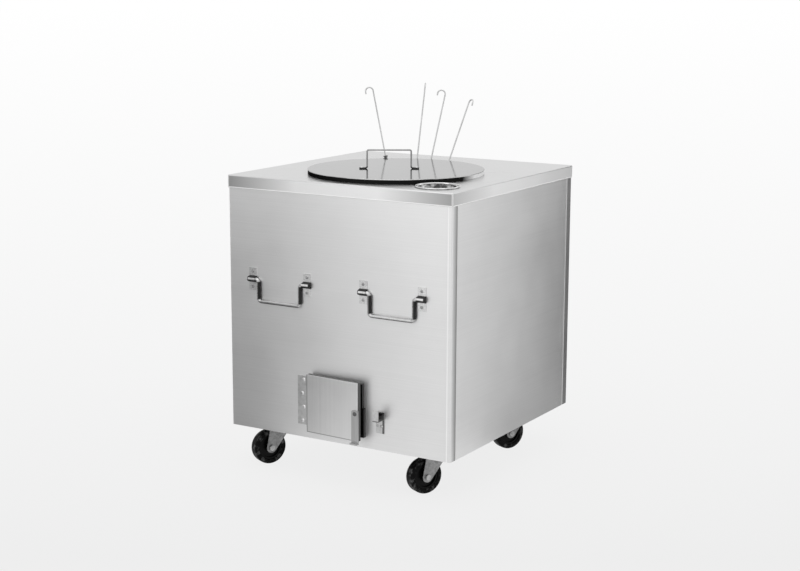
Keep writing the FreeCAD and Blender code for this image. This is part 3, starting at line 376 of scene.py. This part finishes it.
def tyre(corner):
    """Tyre turned about its axle: the profile is a superellipse between bore and tread,
    |a/half width|^5 + |h/half height|^5 = 1, with two ring grooves pressed into each side."""
    low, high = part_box("wheel_tyre_" + corner)
    outer = (high.z - low.z) / 2
    centre = np.array((low + high) / 2)
    along = np.array(joint_of["wheel_" + corner + "_spin"]["axis"])
    up = np.array((0.0, 0.0, 1.0))
    round_turn = np.linspace(0.0, 2 * np.pi, tyre_steps_round, endpoint=False)[:, None]
    profile = np.linspace(0.0, 2 * np.pi, tyre_steps_across, endpoint=False)[None, :]
    share = 2 / tyre_power
    across = np.sign(np.cos(profile)) * np.abs(np.cos(profile)) ** share * tyre_width / 2
    height = np.sign(np.sin(profile)) * np.abs(np.sin(profile)) ** share * (outer - tyre_bore) / 2
    radius = (outer + tyre_bore) / 2 + height
    dip = np.zeros_like(radius)
    for ring in tyre_rings:
        ring_radius = tyre_bore + ring * (outer - tyre_bore)
        dip = dip + tyre_ring_depth * np.exp(-((radius - ring_radius) / tyre_ring_width) ** 2)
    flank = np.clip(np.abs(across) / (tyre_width / 2), 0, 1) ** 8
    across = across - np.sign(across) * dip * flank
    forward = np.cross(along, up)
    spokes = np.cos(round_turn)[..., None] * forward + np.sin(round_turn)[..., None] * up
    grid = centre + across[..., None] * along + radius[..., None] * spokes
    return surface("tyre_" + corner, grid, True, True)


# Moulded plastic: near black with a faint satin. Rubber: black with faint grey scuffs about 14 mm across,
# which also serve as painted glints.
core_black = matt_finish("moulded_black_plastic", "#080808", "#020202", 2.0, (0.35, 0.55), 0.1, 0.0, 0.12)
scuff_and_glint_mm = 14.0
scuff_and_glint_start, scuff_and_glint_full = 0.50, 0.85


def ramp(tree, value, start, end):
    """0 before start, 1 after end, straight between."""
    return add(tree, "ShaderNodeMapRange", {"Value": value, "From Min": start, "From Max": end}).outputs[0]


def recolour(tree, share, colour, code):
    """A colour turned into another where a share is 1."""
    return add(tree, "ShaderNodeMix", {0: share, 6: colour, 7: linear(code)}, data_type="RGBA").outputs[2]


def tyre_scuffs_and_glints(tree, place, colour, gloss, metal):
    """Grey scuffs in patches, where the tyre has been rolled over a kitchen floor; the same patches also
    serve as painted glints on the black rubber.
    """
    patch = add(tree, "ShaderNodeTexNoise", {"Vector": place, "Scale": 1000.0 / scuff_and_glint_mm, "Detail": 4.0})
    scuff_and_glint = ramp(tree, patch.outputs["Fac"], scuff_and_glint_start, scuff_and_glint_full)
    # Pale grey patches: scuffs, and painted glints.
    return recolour(tree, scuff_and_glint, colour, "#7a7a7a"), gloss, metal


rubber = matt_finish("solid_black_rubber", "#0c0c0c", "#020202", 3.0, (0.35, 0.6), 0.3, 0.0, 0.08,
                     tyre_scuffs_and_glints)
for corner in corners:
    paint(core_black, "wheel_core_" + corner)
    put_piece("tyre_" + corner, tyre(corner), rubber, "wheel_" + corner, "tyre_black",
              "wheel_tyre_" + corner)


# Pot, hearth, grate and fill: a thrown clay pot on a cast slab, an iron grate in it, loose fill round it.
# All of it is hidden by the casing and the lid, and shows when the lid is lifted off.
# Fired clay: warm brown, sandy to the touch, matt. Refractory concrete: pale grey-brown, coarse.
paint(matt_finish("fired_clay", "#b07c58", "#6d4630", 3.0, (0.75, 0.95), 0.4), "clay_pot")
paint(matt_finish("refractory_concrete", "#9a9184", "#6c655a", 4.0, (0.8, 0.95), 0.4), "hearth_slab")
# Cast iron: near black, sand-cast grain. Mineral fill: tan grains of vermiculite about 5 mm across.
paint(matt_finish("cast_iron", "#3a3836", "#1c1b1a", 2.5, (0.6, 0.85), 0.4), "fire_grate")
paint(matt_finish("vermiculite_fill", "#b59f74", "#80694a", 5.0, (0.8, 0.95), 0.5), "insulation")


# Casing: four stainless sheets, the front and back folded round the corners, screwed to the frame inside.
# Fine brushed finish with the grain level, so a panel mirrors the room as one soft gradient.
# Brushed stainless: the real grain is about 0.3 mm; it is drawn 2 mm wide so that it shows at all.
def between(tree, value, low, high, soft):
    """1 between two places and 0 outside, with edges of a given softness."""
    return reckon(tree, "MULTIPLY", ramp(tree, value, low - soft, low), ramp(tree, value, high + soft, high))


def darken(tree, colour, share, depth):
    """A colour taken down by a depth where a share is 1."""
    level = reckon(tree, "SUBTRACT", 1.0, reckon(tree, "MULTIPLY", share, depth))
    return add(tree, "ShaderNodeVectorMath", {0: colour, "Scale": level}, operation="SCALE").outputs[0]


casing_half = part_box("front_panel")[1].x
fold = 0.004
fold_back = 0.028
face_from, face_at = 0.003, 0.002
seam_line, seam_soft = 0.0006, 0.0003
# Painted light on the casing's corners: a painted highlight line by each rear seam, a painted highlight on
# the front bend, and painted shade on the returns.
rear_highlight_width, rear_highlight_gap, rear_highlight_soft = 0.0055, 0.0012, 0.0004
bend_line_from, bend_line_to, bend_soft = 0.0135, 0.0105, 0.0008
front_seam_shade, rear_return_shade = 0.60, 0.42
bend_highlight_metal_loss = 0.8


def casing_painted_seam_light(tree, place, colour, gloss, metal):
    """Painted shade darkens the front returns towards their seams and the rear returns all over;
    a pale painted highlight line runs beside each rear seam, and a painted highlight along the front panel's
    right bend."""
    x, y, z = add(tree, "ShaderNodeSeparateXYZ", {0: place}).outputs
    on_side = ramp(tree, reckon(tree, "ABSOLUTE", x), casing_half - face_from, casing_half - face_at)
    front_seam = fold_back - casing_half
    rear_seam = -front_seam
    front = reckon(tree, "MULTIPLY", ramp(tree, y, -casing_half + fold, front_seam),
                   between(tree, y, -casing_half, front_seam + seam_line, seam_soft))
    rear = ramp(tree, y, rear_seam, rear_seam + rear_highlight_soft)
    rear_highlight = between(tree, y, rear_seam - rear_highlight_gap - rear_highlight_width, rear_seam - rear_highlight_gap, rear_highlight_soft)
    # Painted shade on the front and rear returns.
    colour = darken(tree, colour, reckon(tree, "MULTIPLY", front, on_side), front_seam_shade)
    colour = darken(tree, colour, reckon(tree, "MULTIPLY", rear, on_side), rear_return_shade)
    # Pale painted highlight line beside the rear seam.
    rear_highlit = reckon(tree, "MULTIPLY", rear_highlight, on_side)
    colour = recolour(tree, rear_highlit, colour, "#d0d0d0")
    # Painted highlight along the front panel's right bend.
    bend = between(tree, x, casing_half - bend_line_from, casing_half - bend_line_to, bend_soft)
    bend_highlight = reckon(tree, "MULTIPLY", bend, ramp(tree, y, -casing_half + face_from, -casing_half + face_at))
    colour = recolour(tree, bend_highlight, colour, "#fafafa")
    metal = reckon(tree, "SUBTRACT", metal, rear_highlit)
    return colour, gloss, reckon(tree, "MULTIPLY_ADD", bend_highlight, -bend_highlight_metal_loss, metal)


casing_steel = steel_finish("brushed_stainless_casing", "#ececec", "#e4e4e4", (2, 2, 500), (0.42, 0.50),
                            0.05, 1.0, casing_painted_seam_light)
paint(casing_steel, "front_panel", "back_panel", "left_panel", "right_panel")


# Table: one stainless sheet folded down all round, with a hole for the pot's mouth and one for the bowl.
# Its lower edge is a closed hem, a new piece: a thin round bead along the skirt that catches the light.
table_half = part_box("table_top")[1].x
table_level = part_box("table_top")[1].z
skirt_from, skirt_at = 0.0025, 0.0040
corner_from = 0.14
# Painted light on the skirt: painted shade towards the corners, and a painted highlight down each corner
# fold.
corner_shade, side_lighter, rear_lighter, rear_reach = 0.55, 0.2, 0.3, 0.3
corner_highlight_from, corner_highlight_at = 0.980, 0.988
skirt_dull = 0.26


def skirt_painted_light_and_gloss(tree, place, colour, gloss, metal):
    """The skirt is duller than the top and painted paler than it, with painted shade towards its corners,
    less on the side skirts and towards the rear, and a painted highlight down each corner fold.
    """
    x, y, z = add(tree, "ShaderNodeSeparateXYZ", {0: place}).outputs
    skirt = ramp(tree, z, table_level - skirt_from, table_level - skirt_at)
    side_reach = reckon(tree, "ABSOLUTE", x)
    nearness = ramp(tree, reckon(tree, "MINIMUM", side_reach, reckon(tree, "ABSOLUTE", y)),
                    corner_from, table_half)
    # Painted light: the skirt is painted paler than the top.
    colour = recolour(tree, skirt, colour, "#f2f2f2")
    on_side = ramp(tree, side_reach, table_half - face_from, table_half - face_at)
    lighter = reckon(tree, "MULTIPLY_ADD", ramp(tree, y, 0.0, rear_reach), rear_lighter, side_lighter)
    lighter = reckon(tree, "MULTIPLY", on_side, lighter)
    # Painted shade towards the corners.
    skirt_shade = reckon(tree, "MULTIPLY", nearness, reckon(tree, "SUBTRACT", corner_shade, lighter))
    colour = darken(tree, colour, skirt_shade, skirt)
    # Painted highlight down each corner fold.
    corner_highlight = reckon(tree, "MULTIPLY", ramp(tree, nearness, corner_highlight_from, corner_highlight_at), skirt)
    colour = recolour(tree, corner_highlight, colour, "#e0e0e0")
    gloss = reckon(tree, "MULTIPLY_ADD", skirt, skirt_dull, gloss)
    return colour, gloss, reckon(tree, "SUBTRACT", metal, corner_highlight)


# Satin sheet: pale and smooth on top, a soft mirror for the lid and the skewers; duller on the skirt, which
# carries painted light and shade.
table_steel = steel_finish("satin_stainless_table", "#d8d8d8", "#cecece", (2, 400, 400), (0.26, 0.34),
                           0.05, 0.92, skirt_painted_light_and_gloss)
paint(table_steel, "table_top", "mouth_collar")
hem_radius = 0.0016
hem_corner = 0.005


def hem_bead():
    """A round bead carried along a rounded square: corner arcs joined by straight runs."""
    low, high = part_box("table_top")
    half = high.x - hem_corner - hem_radius / 2
    turn = np.linspace(0.0, np.pi / 2, 9)
    quarters = np.arange(4)[:, None] * np.pi / 2
    angle = (quarters + turn[None, :]).ravel()
    corner_x = np.repeat(half * np.array((1, -1, -1, 1)), turn.size)
    corner_y = np.repeat(half * np.array((1, 1, -1, -1)), turn.size)
    around = np.linspace(0.0, 2 * np.pi, 12, endpoint=False)[None, :]
    reach = hem_corner + hem_radius * np.cos(around)
    x = corner_x[:, None] + reach * np.cos(angle)[:, None]
    y = corner_y[:, None] + reach * np.sin(angle)[:, None]
    z = low.z + hem_radius + hem_radius * np.sin(around) + np.zeros_like(x)
    return surface("table_hem", np.stack([x, y, z], axis=-1), True, True)


# Hem: near white with little metal, a painted highlight along the rolled fold.
hem_steel = matt_finish("hem_steel_painted_highlight", "#fafafa", "#ececec", 1.0, (0.3, 0.4), 0.03, 0.3)
put_piece("table_hem", hem_bead(), hem_steel, "cabinet", "table_steel")


# Ash duct: a welded box from the door to the pot, with a collar proud of the front panel.
# Mild steel with black stove enamel: deep black, half gloss.
black_enamel = matt_finish("black_stove_enamel", "#0c0c0c", "#040404", 1.5, (0.35, 0.5), 0.08)
paint(black_enamel, "ash_duct")


# Hinge: two stainless leaves on one pin, the fixed leaf held by four dome screws, the other riveted on.
# Satin sheet: a soft mid grey. Turned screws: brighter heads, each with a small light.
hinge_steel = steel_finish("satin_hinge_steel", "#dcdcdc", "#b4b4b4", (90, 90, 90), (0.34, 0.46))
keeper_from, keeper_at = 0.10, 0.11
screw_dark, screw_dull = 0.2, 0.25


def keeper_screws_dull(tree, place, colour, gloss, metal):
    """The two screws right of the door, in the keeper, are ground flush and dull."""
    x, y, z = add(tree, "ShaderNodeSeparateXYZ", {0: place}).outputs
    dull = ramp(tree, x, keeper_from, keeper_at)
    gloss = reckon(tree, "MULTIPLY_ADD", dull, screw_dull, gloss)
    return darken(tree, colour, dull, screw_dark), gloss, metal


screw_steel = steel_finish("turned_screw_steel", "#e4e4e4", "#c4c4c4", (90, 90, 90), (0.26, 0.36),
                           0.1, 1.0, keeper_screws_dull)
soften(0.0004, "hinge_fixed_leaf", "hinge_door_leaf")
paint(hinge_steel, "hinge_fixed_leaf", "hinge_door_leaf", "hinge_pin")
paint(screw_steel, "leaf_rivets", "flush_screws")


# Ash door: a satin stainless face on a folded tray with heat paint, filled with fibre board.
# The face sheet is crimped over the tray, so the tray shows as a dark band behind it.
door_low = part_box("door_face")[0]
crimp_from, crimp_at, crimp_dark = 0.0035, 0.002, 0.5


def door_edges(tree, place, colour, gloss, metal):
    """The crimped edges of the door sheet hold a thin dark line at the hinge side and the foot."""
    x, y, z = add(tree, "ShaderNodeSeparateXYZ", {0: place}).outputs
    line = reckon(tree, "MAXIMUM", ramp(tree, x, door_low.x + crimp_from, door_low.x + crimp_at),
                  ramp(tree, z, door_low.z + crimp_from, door_low.z + crimp_at))
    return darken(tree, colour, line, crimp_dark), gloss, metal


# Satin door sheet: a shade darker than the panel, with its grain upright, so that it stands apart.
door_sheet = steel_finish("satin_door_sheet", "#e6e6e6", "#d6d6d6", (400, 2, 2), (0.36, 0.44),
                          0.05, 1.0, door_edges)
paint(door_sheet, "door_face")
# Heat paint: flat dark grey. Fibre board: off-white felted fibres.
paint(matt_finish("dark_heat_paint", "#5e5e5e", "#464646", 1.5, (0.45, 0.6), 0.1), "door_tray")
paint(matt_finish("ceramic_fibre_board", "#d8d2c6", "#b9b1a2", 2.0, (0.85, 0.95), 0.3), "door_insulation")


# Latch: a flat stainless bar hung from a blackened rivet; it swings up to lie in the keeper's hook.
# Keeper: a bent strip on the panel, with a black rubber pad behind the bar's slot, whose black also stands in
# for the shade inside the slot.
latch_steel = steel_finish("satin_latch_strip", "#c0c0c0", "#a4a4a4", (200, 200, 6), (0.32, 0.44))
keeper_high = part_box("keeper")[1]
ledge_level = keeper_high.z - 0.030
under_from, under_to, under_soft = 0.0045, 0.0005, 0.0008
strip_edge_from, strip_edge_at = 0.0045, 0.0035
keeper_shade_depth = 0.75


def keeper_painted_shade(tree, place, colour, gloss, metal):
    """Painted shade: a dark line under the ledge and along the strip's right edge."""
    x, y, z = add(tree, "ShaderNodeSeparateXYZ", {0: place}).outputs
    under = between(tree, z, ledge_level - under_from, ledge_level - under_to, under_soft)
    right = ramp(tree, x, keeper_high.x - strip_edge_from, keeper_high.x - strip_edge_at)
    edge = reckon(tree, "MULTIPLY", right, ramp(tree, z, ledge_level, ledge_level - 0.001))
    return darken(tree, colour, reckon(tree, "MAXIMUM", under, edge), keeper_shade_depth), gloss, metal


# Satin strips: mid grey, the latch bar a little darker than the keeper, which carries lines of painted shade
# under its ledge and along its right edge.
keeper_steel = steel_finish("satin_keeper_strip", "#dedede", "#b8b8b8", (150, 150, 150), (0.40, 0.5),
                            0.1, 1.0, keeper_painted_shade)
soften(0.0005, "latch_bar", "keeper")
paint(latch_steel, "latch_bar")
paint(keeper_steel, "keeper")
paint(matt_finish("blackened_rivet_steel", "#6a6a6a", "#4a4a4a", 1.0, (0.4, 0.5), 0.1), "latch_pivot")
# Black rubber pad, which also stands in for the shade inside the keeper's slot.
paint(rubber, "keeper_buffer")


# Bail handles: bent stainless rods, each loose in two pressed saddle clips on the front panel.
# The clips' slotted dome screws are a new piece, each slot left where its screw came tight.
rod_level = joint_of["left_handle_swing"]["pos_m"][2]
rod_reach = 0.1075
leg_reach = 0.0735
leg_drop = 0.0645
rod_middles = [joint_of[side + "_handle_swing"]["pos_m"][0] for side in ("left", "right")]
arch_head = (0.0048, 0.0092)
arch_foot = (-0.0095, -0.0024)
arch_soft = 0.0012
lip_half, lip_width = 0.0085, 0.0010
# How far the painted shade on the handle rods and clips takes their colour down.
painted_shade_depth = 0.94


def from_middle(tree, x):
    """Place along X from the middle of the nearer handle."""
    on_right = ramp(tree, x, -0.001, 0.001)
    middle = reckon(tree, "MULTIPLY_ADD", on_right, rod_middles[1] - rod_middles[0], rod_middles[0])
    return reckon(tree, "SUBTRACT", x, middle)


def saddle_painted_shade(tree, place, colour, gloss, metal):
    """Painted shade: dark lines where the arch of a clip turns into its flats, above and below the rod, and
    at the clip's outer end round the rod.
    """
    x, y, z = add(tree, "ShaderNodeSeparateXYZ", {0: place}).outputs
    over = reckon(tree, "SUBTRACT", z, rod_level)
    crease = reckon(tree, "MAXIMUM", between(tree, over, *arch_head, arch_soft),
                    between(tree, over, *arch_foot, arch_soft))
    reach = reckon(tree, "ABSOLUTE", from_middle(tree, x))
    lip = reckon(tree, "MULTIPLY", ramp(tree, reach, rod_reach - lip_width, rod_reach),
                 between(tree, over, -lip_half, lip_half, lip_width))
    return darken(tree, colour, reckon(tree, "MAXIMUM", crease, lip), painted_shade_depth), gloss, metal


end_from, end_at = 0.0045, 0.0035
left_leg_from, left_leg_to, left_leg_soft = 0.0010, 0.0060, 0.0020
right_leg_half = 0.0010
leg_head, leg_foot, leg_soft = 0.0070, 0.0075, 0.0030
grip_from, grip_at = 0.0018, 0.0030


def rod_painted_shade(tree, place, colour, gloss, metal):
    """Painted shade: black on the sawn ends of the rods, down the right side of each leg and under the grip.
    """
    x, y, z = add(tree, "ShaderNodeSeparateXYZ", {0: place}).outputs
    along = from_middle(tree, x)
    fall = reckon(tree, "SUBTRACT", rod_level, z)
    end = ramp(tree, reckon(tree, "ABSOLUTE", along), rod_reach - end_from, rod_reach - end_at)
    left_leg = between(tree, along, -leg_reach + left_leg_from, -leg_reach + left_leg_to, left_leg_soft)
    right_leg = ramp(tree, along, leg_reach - right_leg_half, leg_reach + right_leg_half)
    leg = reckon(tree, "MULTIPLY", reckon(tree, "MAXIMUM", left_leg, right_leg),
                 between(tree, fall, leg_head, leg_drop - leg_foot, leg_soft))
    under = ramp(tree, fall, leg_drop + grip_from, leg_drop + grip_at)
    rod_shade = reckon(tree, "MAXIMUM", end, reckon(tree, "MAXIMUM", leg, under))
    return darken(tree, colour, rod_shade, painted_shade_depth), gloss, metal


# Satin rod: light grey with a soft line of light, and painted shade on its ends, down the legs' right sides
# and under the grip.
handle_steel = steel_finish("satin_handle_rod", "#d0d0d0", "#acacac", (10, 200, 200), (0.22, 0.34),
                            0.1, 1.0, rod_painted_shade)
# Pressed strip: mottled light grey, marked by the press, with painted shade in its creases and at its outer
# end.
saddle_steel = steel_finish("pressed_saddle_steel", "#f4f4f4", "#b0b0b0", (260, 260, 260), (0.40, 0.5),
                            0.1, 1.0, saddle_painted_shade)
# Dulled screws: dark grey heads that stand out on the clips.
dull_screw = steel_finish("dulled_screw_steel", "#b4b4b4", "#808080", (200, 200, 200), (0.3, 0.4))
soften(0.0004, "handle_saddles")
paint(handle_steel, "left_handle", "right_handle")
paint(saddle_steel, "handle_saddles")
saddle_reach = 0.0965
saddle_screw_reach = 0.023
screw_radius = 0.0046
screw_rise = 0.0020
slot_width = 0.0022
slot_depth = 0.0019
slot_turns = np.radians((35.0, 52.0, 20.0, 64.0, 41.0, 28.0, 57.0, 33.0))


def slotted_dome(centre, turn):
    """A dome on chords that run along its slot: height is rise * sqrt(1 - (r / R)^2), sunk in the slot.
    The chords crowd together at the slot's walls, so the slot is sharp."""
    wall = slot_width / 2
    outside = wall + (screw_radius - wall) * np.sin(np.linspace(0.0, np.pi / 2, 10))
    offsets = np.concatenate([-outside[::-1], [-wall * 0.9, 0.0, wall * 0.9], outside])[:, None]
    chord = np.sin(np.linspace(-np.pi / 2, np.pi / 2, 25))[None, :]
    length = np.sqrt(np.clip(screw_radius ** 2 - offsets ** 2, 0.0, None))
    run = chord * length
    fall = np.clip(1.0 - (offsets ** 2 + run ** 2) / screw_radius ** 2, 0.0, None)
    rise = screw_rise * np.sqrt(fall) - slot_depth * (np.abs(offsets) < wall) * (fall > 0.05)
    x = centre[0] + offsets * math.cos(turn) - run * math.sin(turn)
    z = centre[2] + offsets * math.sin(turn) + run * math.cos(turn)
    return np.stack([x, centre[1] - np.clip(rise, 0.0, None), z], axis=-1)


def saddle_screw_heads():
    """All eight slotted heads as one mesh."""
    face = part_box("saddle_screws")[0].y + screw_rise
    heads = []
    for middle in rod_middles:
        for side in (-1, 1):
            for level in (-1, 1):
                spot = (middle + side * saddle_reach, face, rod_level + level * saddle_screw_reach)
                heads.append(slotted_dome(spot, slot_turns[len(heads)]))
    joined = bmesh.new()
    for head in heads:
        part = surface("slotted_head", head)
        joined.from_mesh(part)
        bpy.data.meshes.remove(part)
    mesh = bpy.data.meshes.new("saddle_screw_heads")
    joined.to_mesh(mesh)
    joined.free()
    mesh.shade_smooth()
    return mesh


put_piece("saddle_screw_heads", saddle_screw_heads(), dull_screw, "cabinet", "handle_steel", "saddle_screws")


# Lid: a polished stainless disc on a black enamelled band, slid forward so that the skewers stand free.
# Its handle is a new piece, one rod whose ends are hammered flat into feet and riveted down.
# Polished sheet: near mirror, which shows the handle and the skewers again, a little dimmer.
lid_sheet = steel_finish("polished_lid_sheet", "#cecece", "#c4c4c4", (40, 40, 40), (0.06, 0.11), 0.02, 0.70)
paint(lid_sheet, "lid_plate")
lid_low, lid_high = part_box("lid_plate")
lid_centre = (lid_low + lid_high) / 2
lid_radius = (lid_high.x - lid_low.x) / 2
# Painted reflection: where the band turns pale on its right end.
glint_side = Vector((0.857, 0.516, 0.0)) / lid_radius
glint_from, glint_at = 0.73, 0.87
enamel_dark = 0.985
glint_metal_loss = 0.8


def band_enamel_and_glint(tree, place, colour, gloss, metal):
    """Black enamel all round but on the right, where the band carries a pale painted reflection."""
    across = add(tree, "ShaderNodeVectorMath", {0: place, 1: tuple(glint_side)}, operation="DOT_PRODUCT")
    towards = reckon(tree, "SUBTRACT", across.outputs["Value"], lid_centre.dot(glint_side))
    glint = ramp(tree, towards, glint_from, glint_at)
    colour = darken(tree, colour, reckon(tree, "SUBTRACT", 1.0, glint), enamel_dark)
    return colour, gloss, reckon(tree, "MULTIPLY_ADD", glint, -glint_metal_loss, metal)


# Black enamel: dead black, with a pale painted reflection on the band's right end.
band_black = steel_finish("black_enamel_painted_glint", "#fafafa", "#e4e4e4", (90, 90, 90), (0.5, 0.6),
                          0.05, 0.3, band_enamel_and_glint)
paint(band_black, "lid_rim")
handle_span = 0.131
handle_rise = 0.0555
handle_radius = 0.0024
handle_bend = 0.0045
handle_turn = math.radians(32.0)
foot_reach = 0.02425
foot_half_width = 0.007
foot_half_sheet = 0.002
flat_start, flat_run, flat_squareness = 0.2, 0.35, 0.5


def lid_handle():
    """A section carried along a U path of straight runs and quarter bends. On the feet the section
    is a flat superellipse, and it turns into a circle where the rod leaves the lid."""
    low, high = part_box("lid_handle")
    centre = (low + high) / 2
    half = handle_span / 2
    toe = np.linspace(-half - foot_reach, -half - handle_bend, 14)
    bend = np.linspace(0.0, np.pi / 2, 9)[1:]
    leg = np.linspace(foot_half_sheet + handle_bend, handle_rise - handle_bend, 8)[1:]
    x = np.concatenate([toe, -half - handle_bend + handle_bend * np.sin(bend), np.full(leg.size, -half),
                        -half + handle_bend * (1 - np.cos(bend))])
    z = np.concatenate([np.full(toe.size, foot_half_sheet),
                        foot_half_sheet + handle_bend * (1 - np.cos(bend)), leg,
                        handle_rise - handle_bend + handle_bend * np.sin(bend)])
    x = np.concatenate([x, -x[::-1]])
    z = np.concatenate([z, z[::-1]])
    run = np.stack([np.gradient(x), np.gradient(z)])
    run = run / np.linalg.norm(run, axis=0)
    flat = np.clip((np.abs(x) - half - handle_bend * flat_start) / (foot_reach * flat_run), 0.0, 1.0)
    flat = (flat * flat * (3 - 2 * flat))[:, None]
    around = np.linspace(0.0, 2 * np.pi, 20, endpoint=False)[None, :]
    square = 1.0 - flat_squareness * flat
    wide = np.sign(np.cos(around)) * np.abs(np.cos(around)) ** square
    tall = np.sign(np.sin(around)) * np.abs(np.sin(around)) ** square
    wide = wide * (handle_radius + (foot_half_width - handle_radius) * flat)
    tall = tall * (handle_radius + (foot_half_sheet - handle_radius) * flat)
    end = np.ones((x.size, 1))
    end[[0, -1]] = 0.0
    wide = wide * end
    tall = tall * end
    px = x[:, None] - run[1][:, None] * tall
    pz = z[:, None] + run[0][:, None] * tall
    turned_x = centre.x + px * math.cos(handle_turn) - wide * math.sin(handle_turn)
    turned_y = centre.y + px * math.sin(handle_turn) + wide * math.cos(handle_turn)
    return surface("lid_handle_rod", np.stack([turned_x, turned_y, lid_high.z + pz], axis=-1), False, True)


darkening_head, darkening_foot, darkening_depth = 0.008, 0.005, 0.8


def foot_darkening(tree, place, colour, gloss, metal):
    """The hammered feet of the lid's handle are darker, within a few millimetres of the lid."""
    x, y, z = add(tree, "ShaderNodeSeparateXYZ", {0: place}).outputs
    darkening = ramp(tree, z, lid_high.z + darkening_head, lid_high.z + darkening_foot)
    return darken(tree, colour, darkening, darkening_depth), gloss, metal


# Drawn rod: mid grey steel with a soft line of light along it, darker at its feet.
rod_steel = steel_finish("drawn_bright_rod", "#a8a8a8", "#7c7c7c", (60, 60, 12), (0.25, 0.4),
                         0.1, 1.0, foot_darkening)
put_piece("lid_handle_rod", lid_handle(), rod_steel, "lid", "bright_rod", "lid_handle")
paint(screw_steel, "lid_rivets")


# Water bowl: spun stainless, hung in its hole by a flat rim with a rolled bead.
# Mirror polish with faint spinning rings, so it shows small sharp lights and darks.
bowl_low, bowl_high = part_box("water_bowl")
bowl_centre = (bowl_low + bowl_high) / 2
bowl_throat = 0.0555
throat_soft = 0.0015
blots_per_metre = 55.0
blot_from, blot_at = 0.75, 0.45
bowl_shade_depth = 0.9


def bowl_painted_shade(tree, place, colour, gloss, metal):
    """The inside of the bowl is painted dark in blots, as painted shade and reflection; the rim stays bright.
    """
    middle = (bowl_centre.x, bowl_centre.y, 0.0)
    level = add(tree, "ShaderNodeVectorMath", {0: place, 1: (1.0, 1.0, 0.0)}, operation="MULTIPLY").outputs[0]
    span = add(tree, "ShaderNodeVectorMath", {0: level, 1: middle}, operation="DISTANCE").outputs["Value"]
    blot = add(tree, "ShaderNodeTexNoise", {"Vector": place, "Scale": blots_per_metre, "Detail": 2.0})
    darkening = reckon(tree, "MULTIPLY", ramp(tree, span, bowl_throat, bowl_throat - throat_soft),
                  ramp(tree, blot.outputs["Fac"], blot_from, blot_at))
    return darken(tree, colour, darkening, bowl_shade_depth), gloss, metal


# Spun steel, with painted shade in blots inside the bowl.
bowl_steel = steel_finish("spun_bowl_steel", "#e8e8e8", "#b0b0b0", (60, 60, 160), (0.10, 0.18),
                          0.1, 1.0, bowl_painted_shade)
paint(bowl_steel, "water_bowl")


# Skewers: drawn steel rods with a bent hook, standing on the grate and leaning on the mouth's rim.
# One carries a small cup, clamped just above the table.
# Drawn rod: light grey with a soft line of light. Sooted cup: patchy dark grey.
skewer_steel = steel_finish("drawn_skewer_rod", "#d4d4d4", "#b0b0b0", (60, 60, 12), (0.28, 0.4))
paint(skewer_steel, "skewer_1", "skewer_2", "skewer_3", "skewer_4")
paint(matt_finish("sooted_cup_steel", "#c4c4c4", "#6a6a6a", 1.5, (0.4, 0.6), 0.15, 0.7), "skewer_cup")
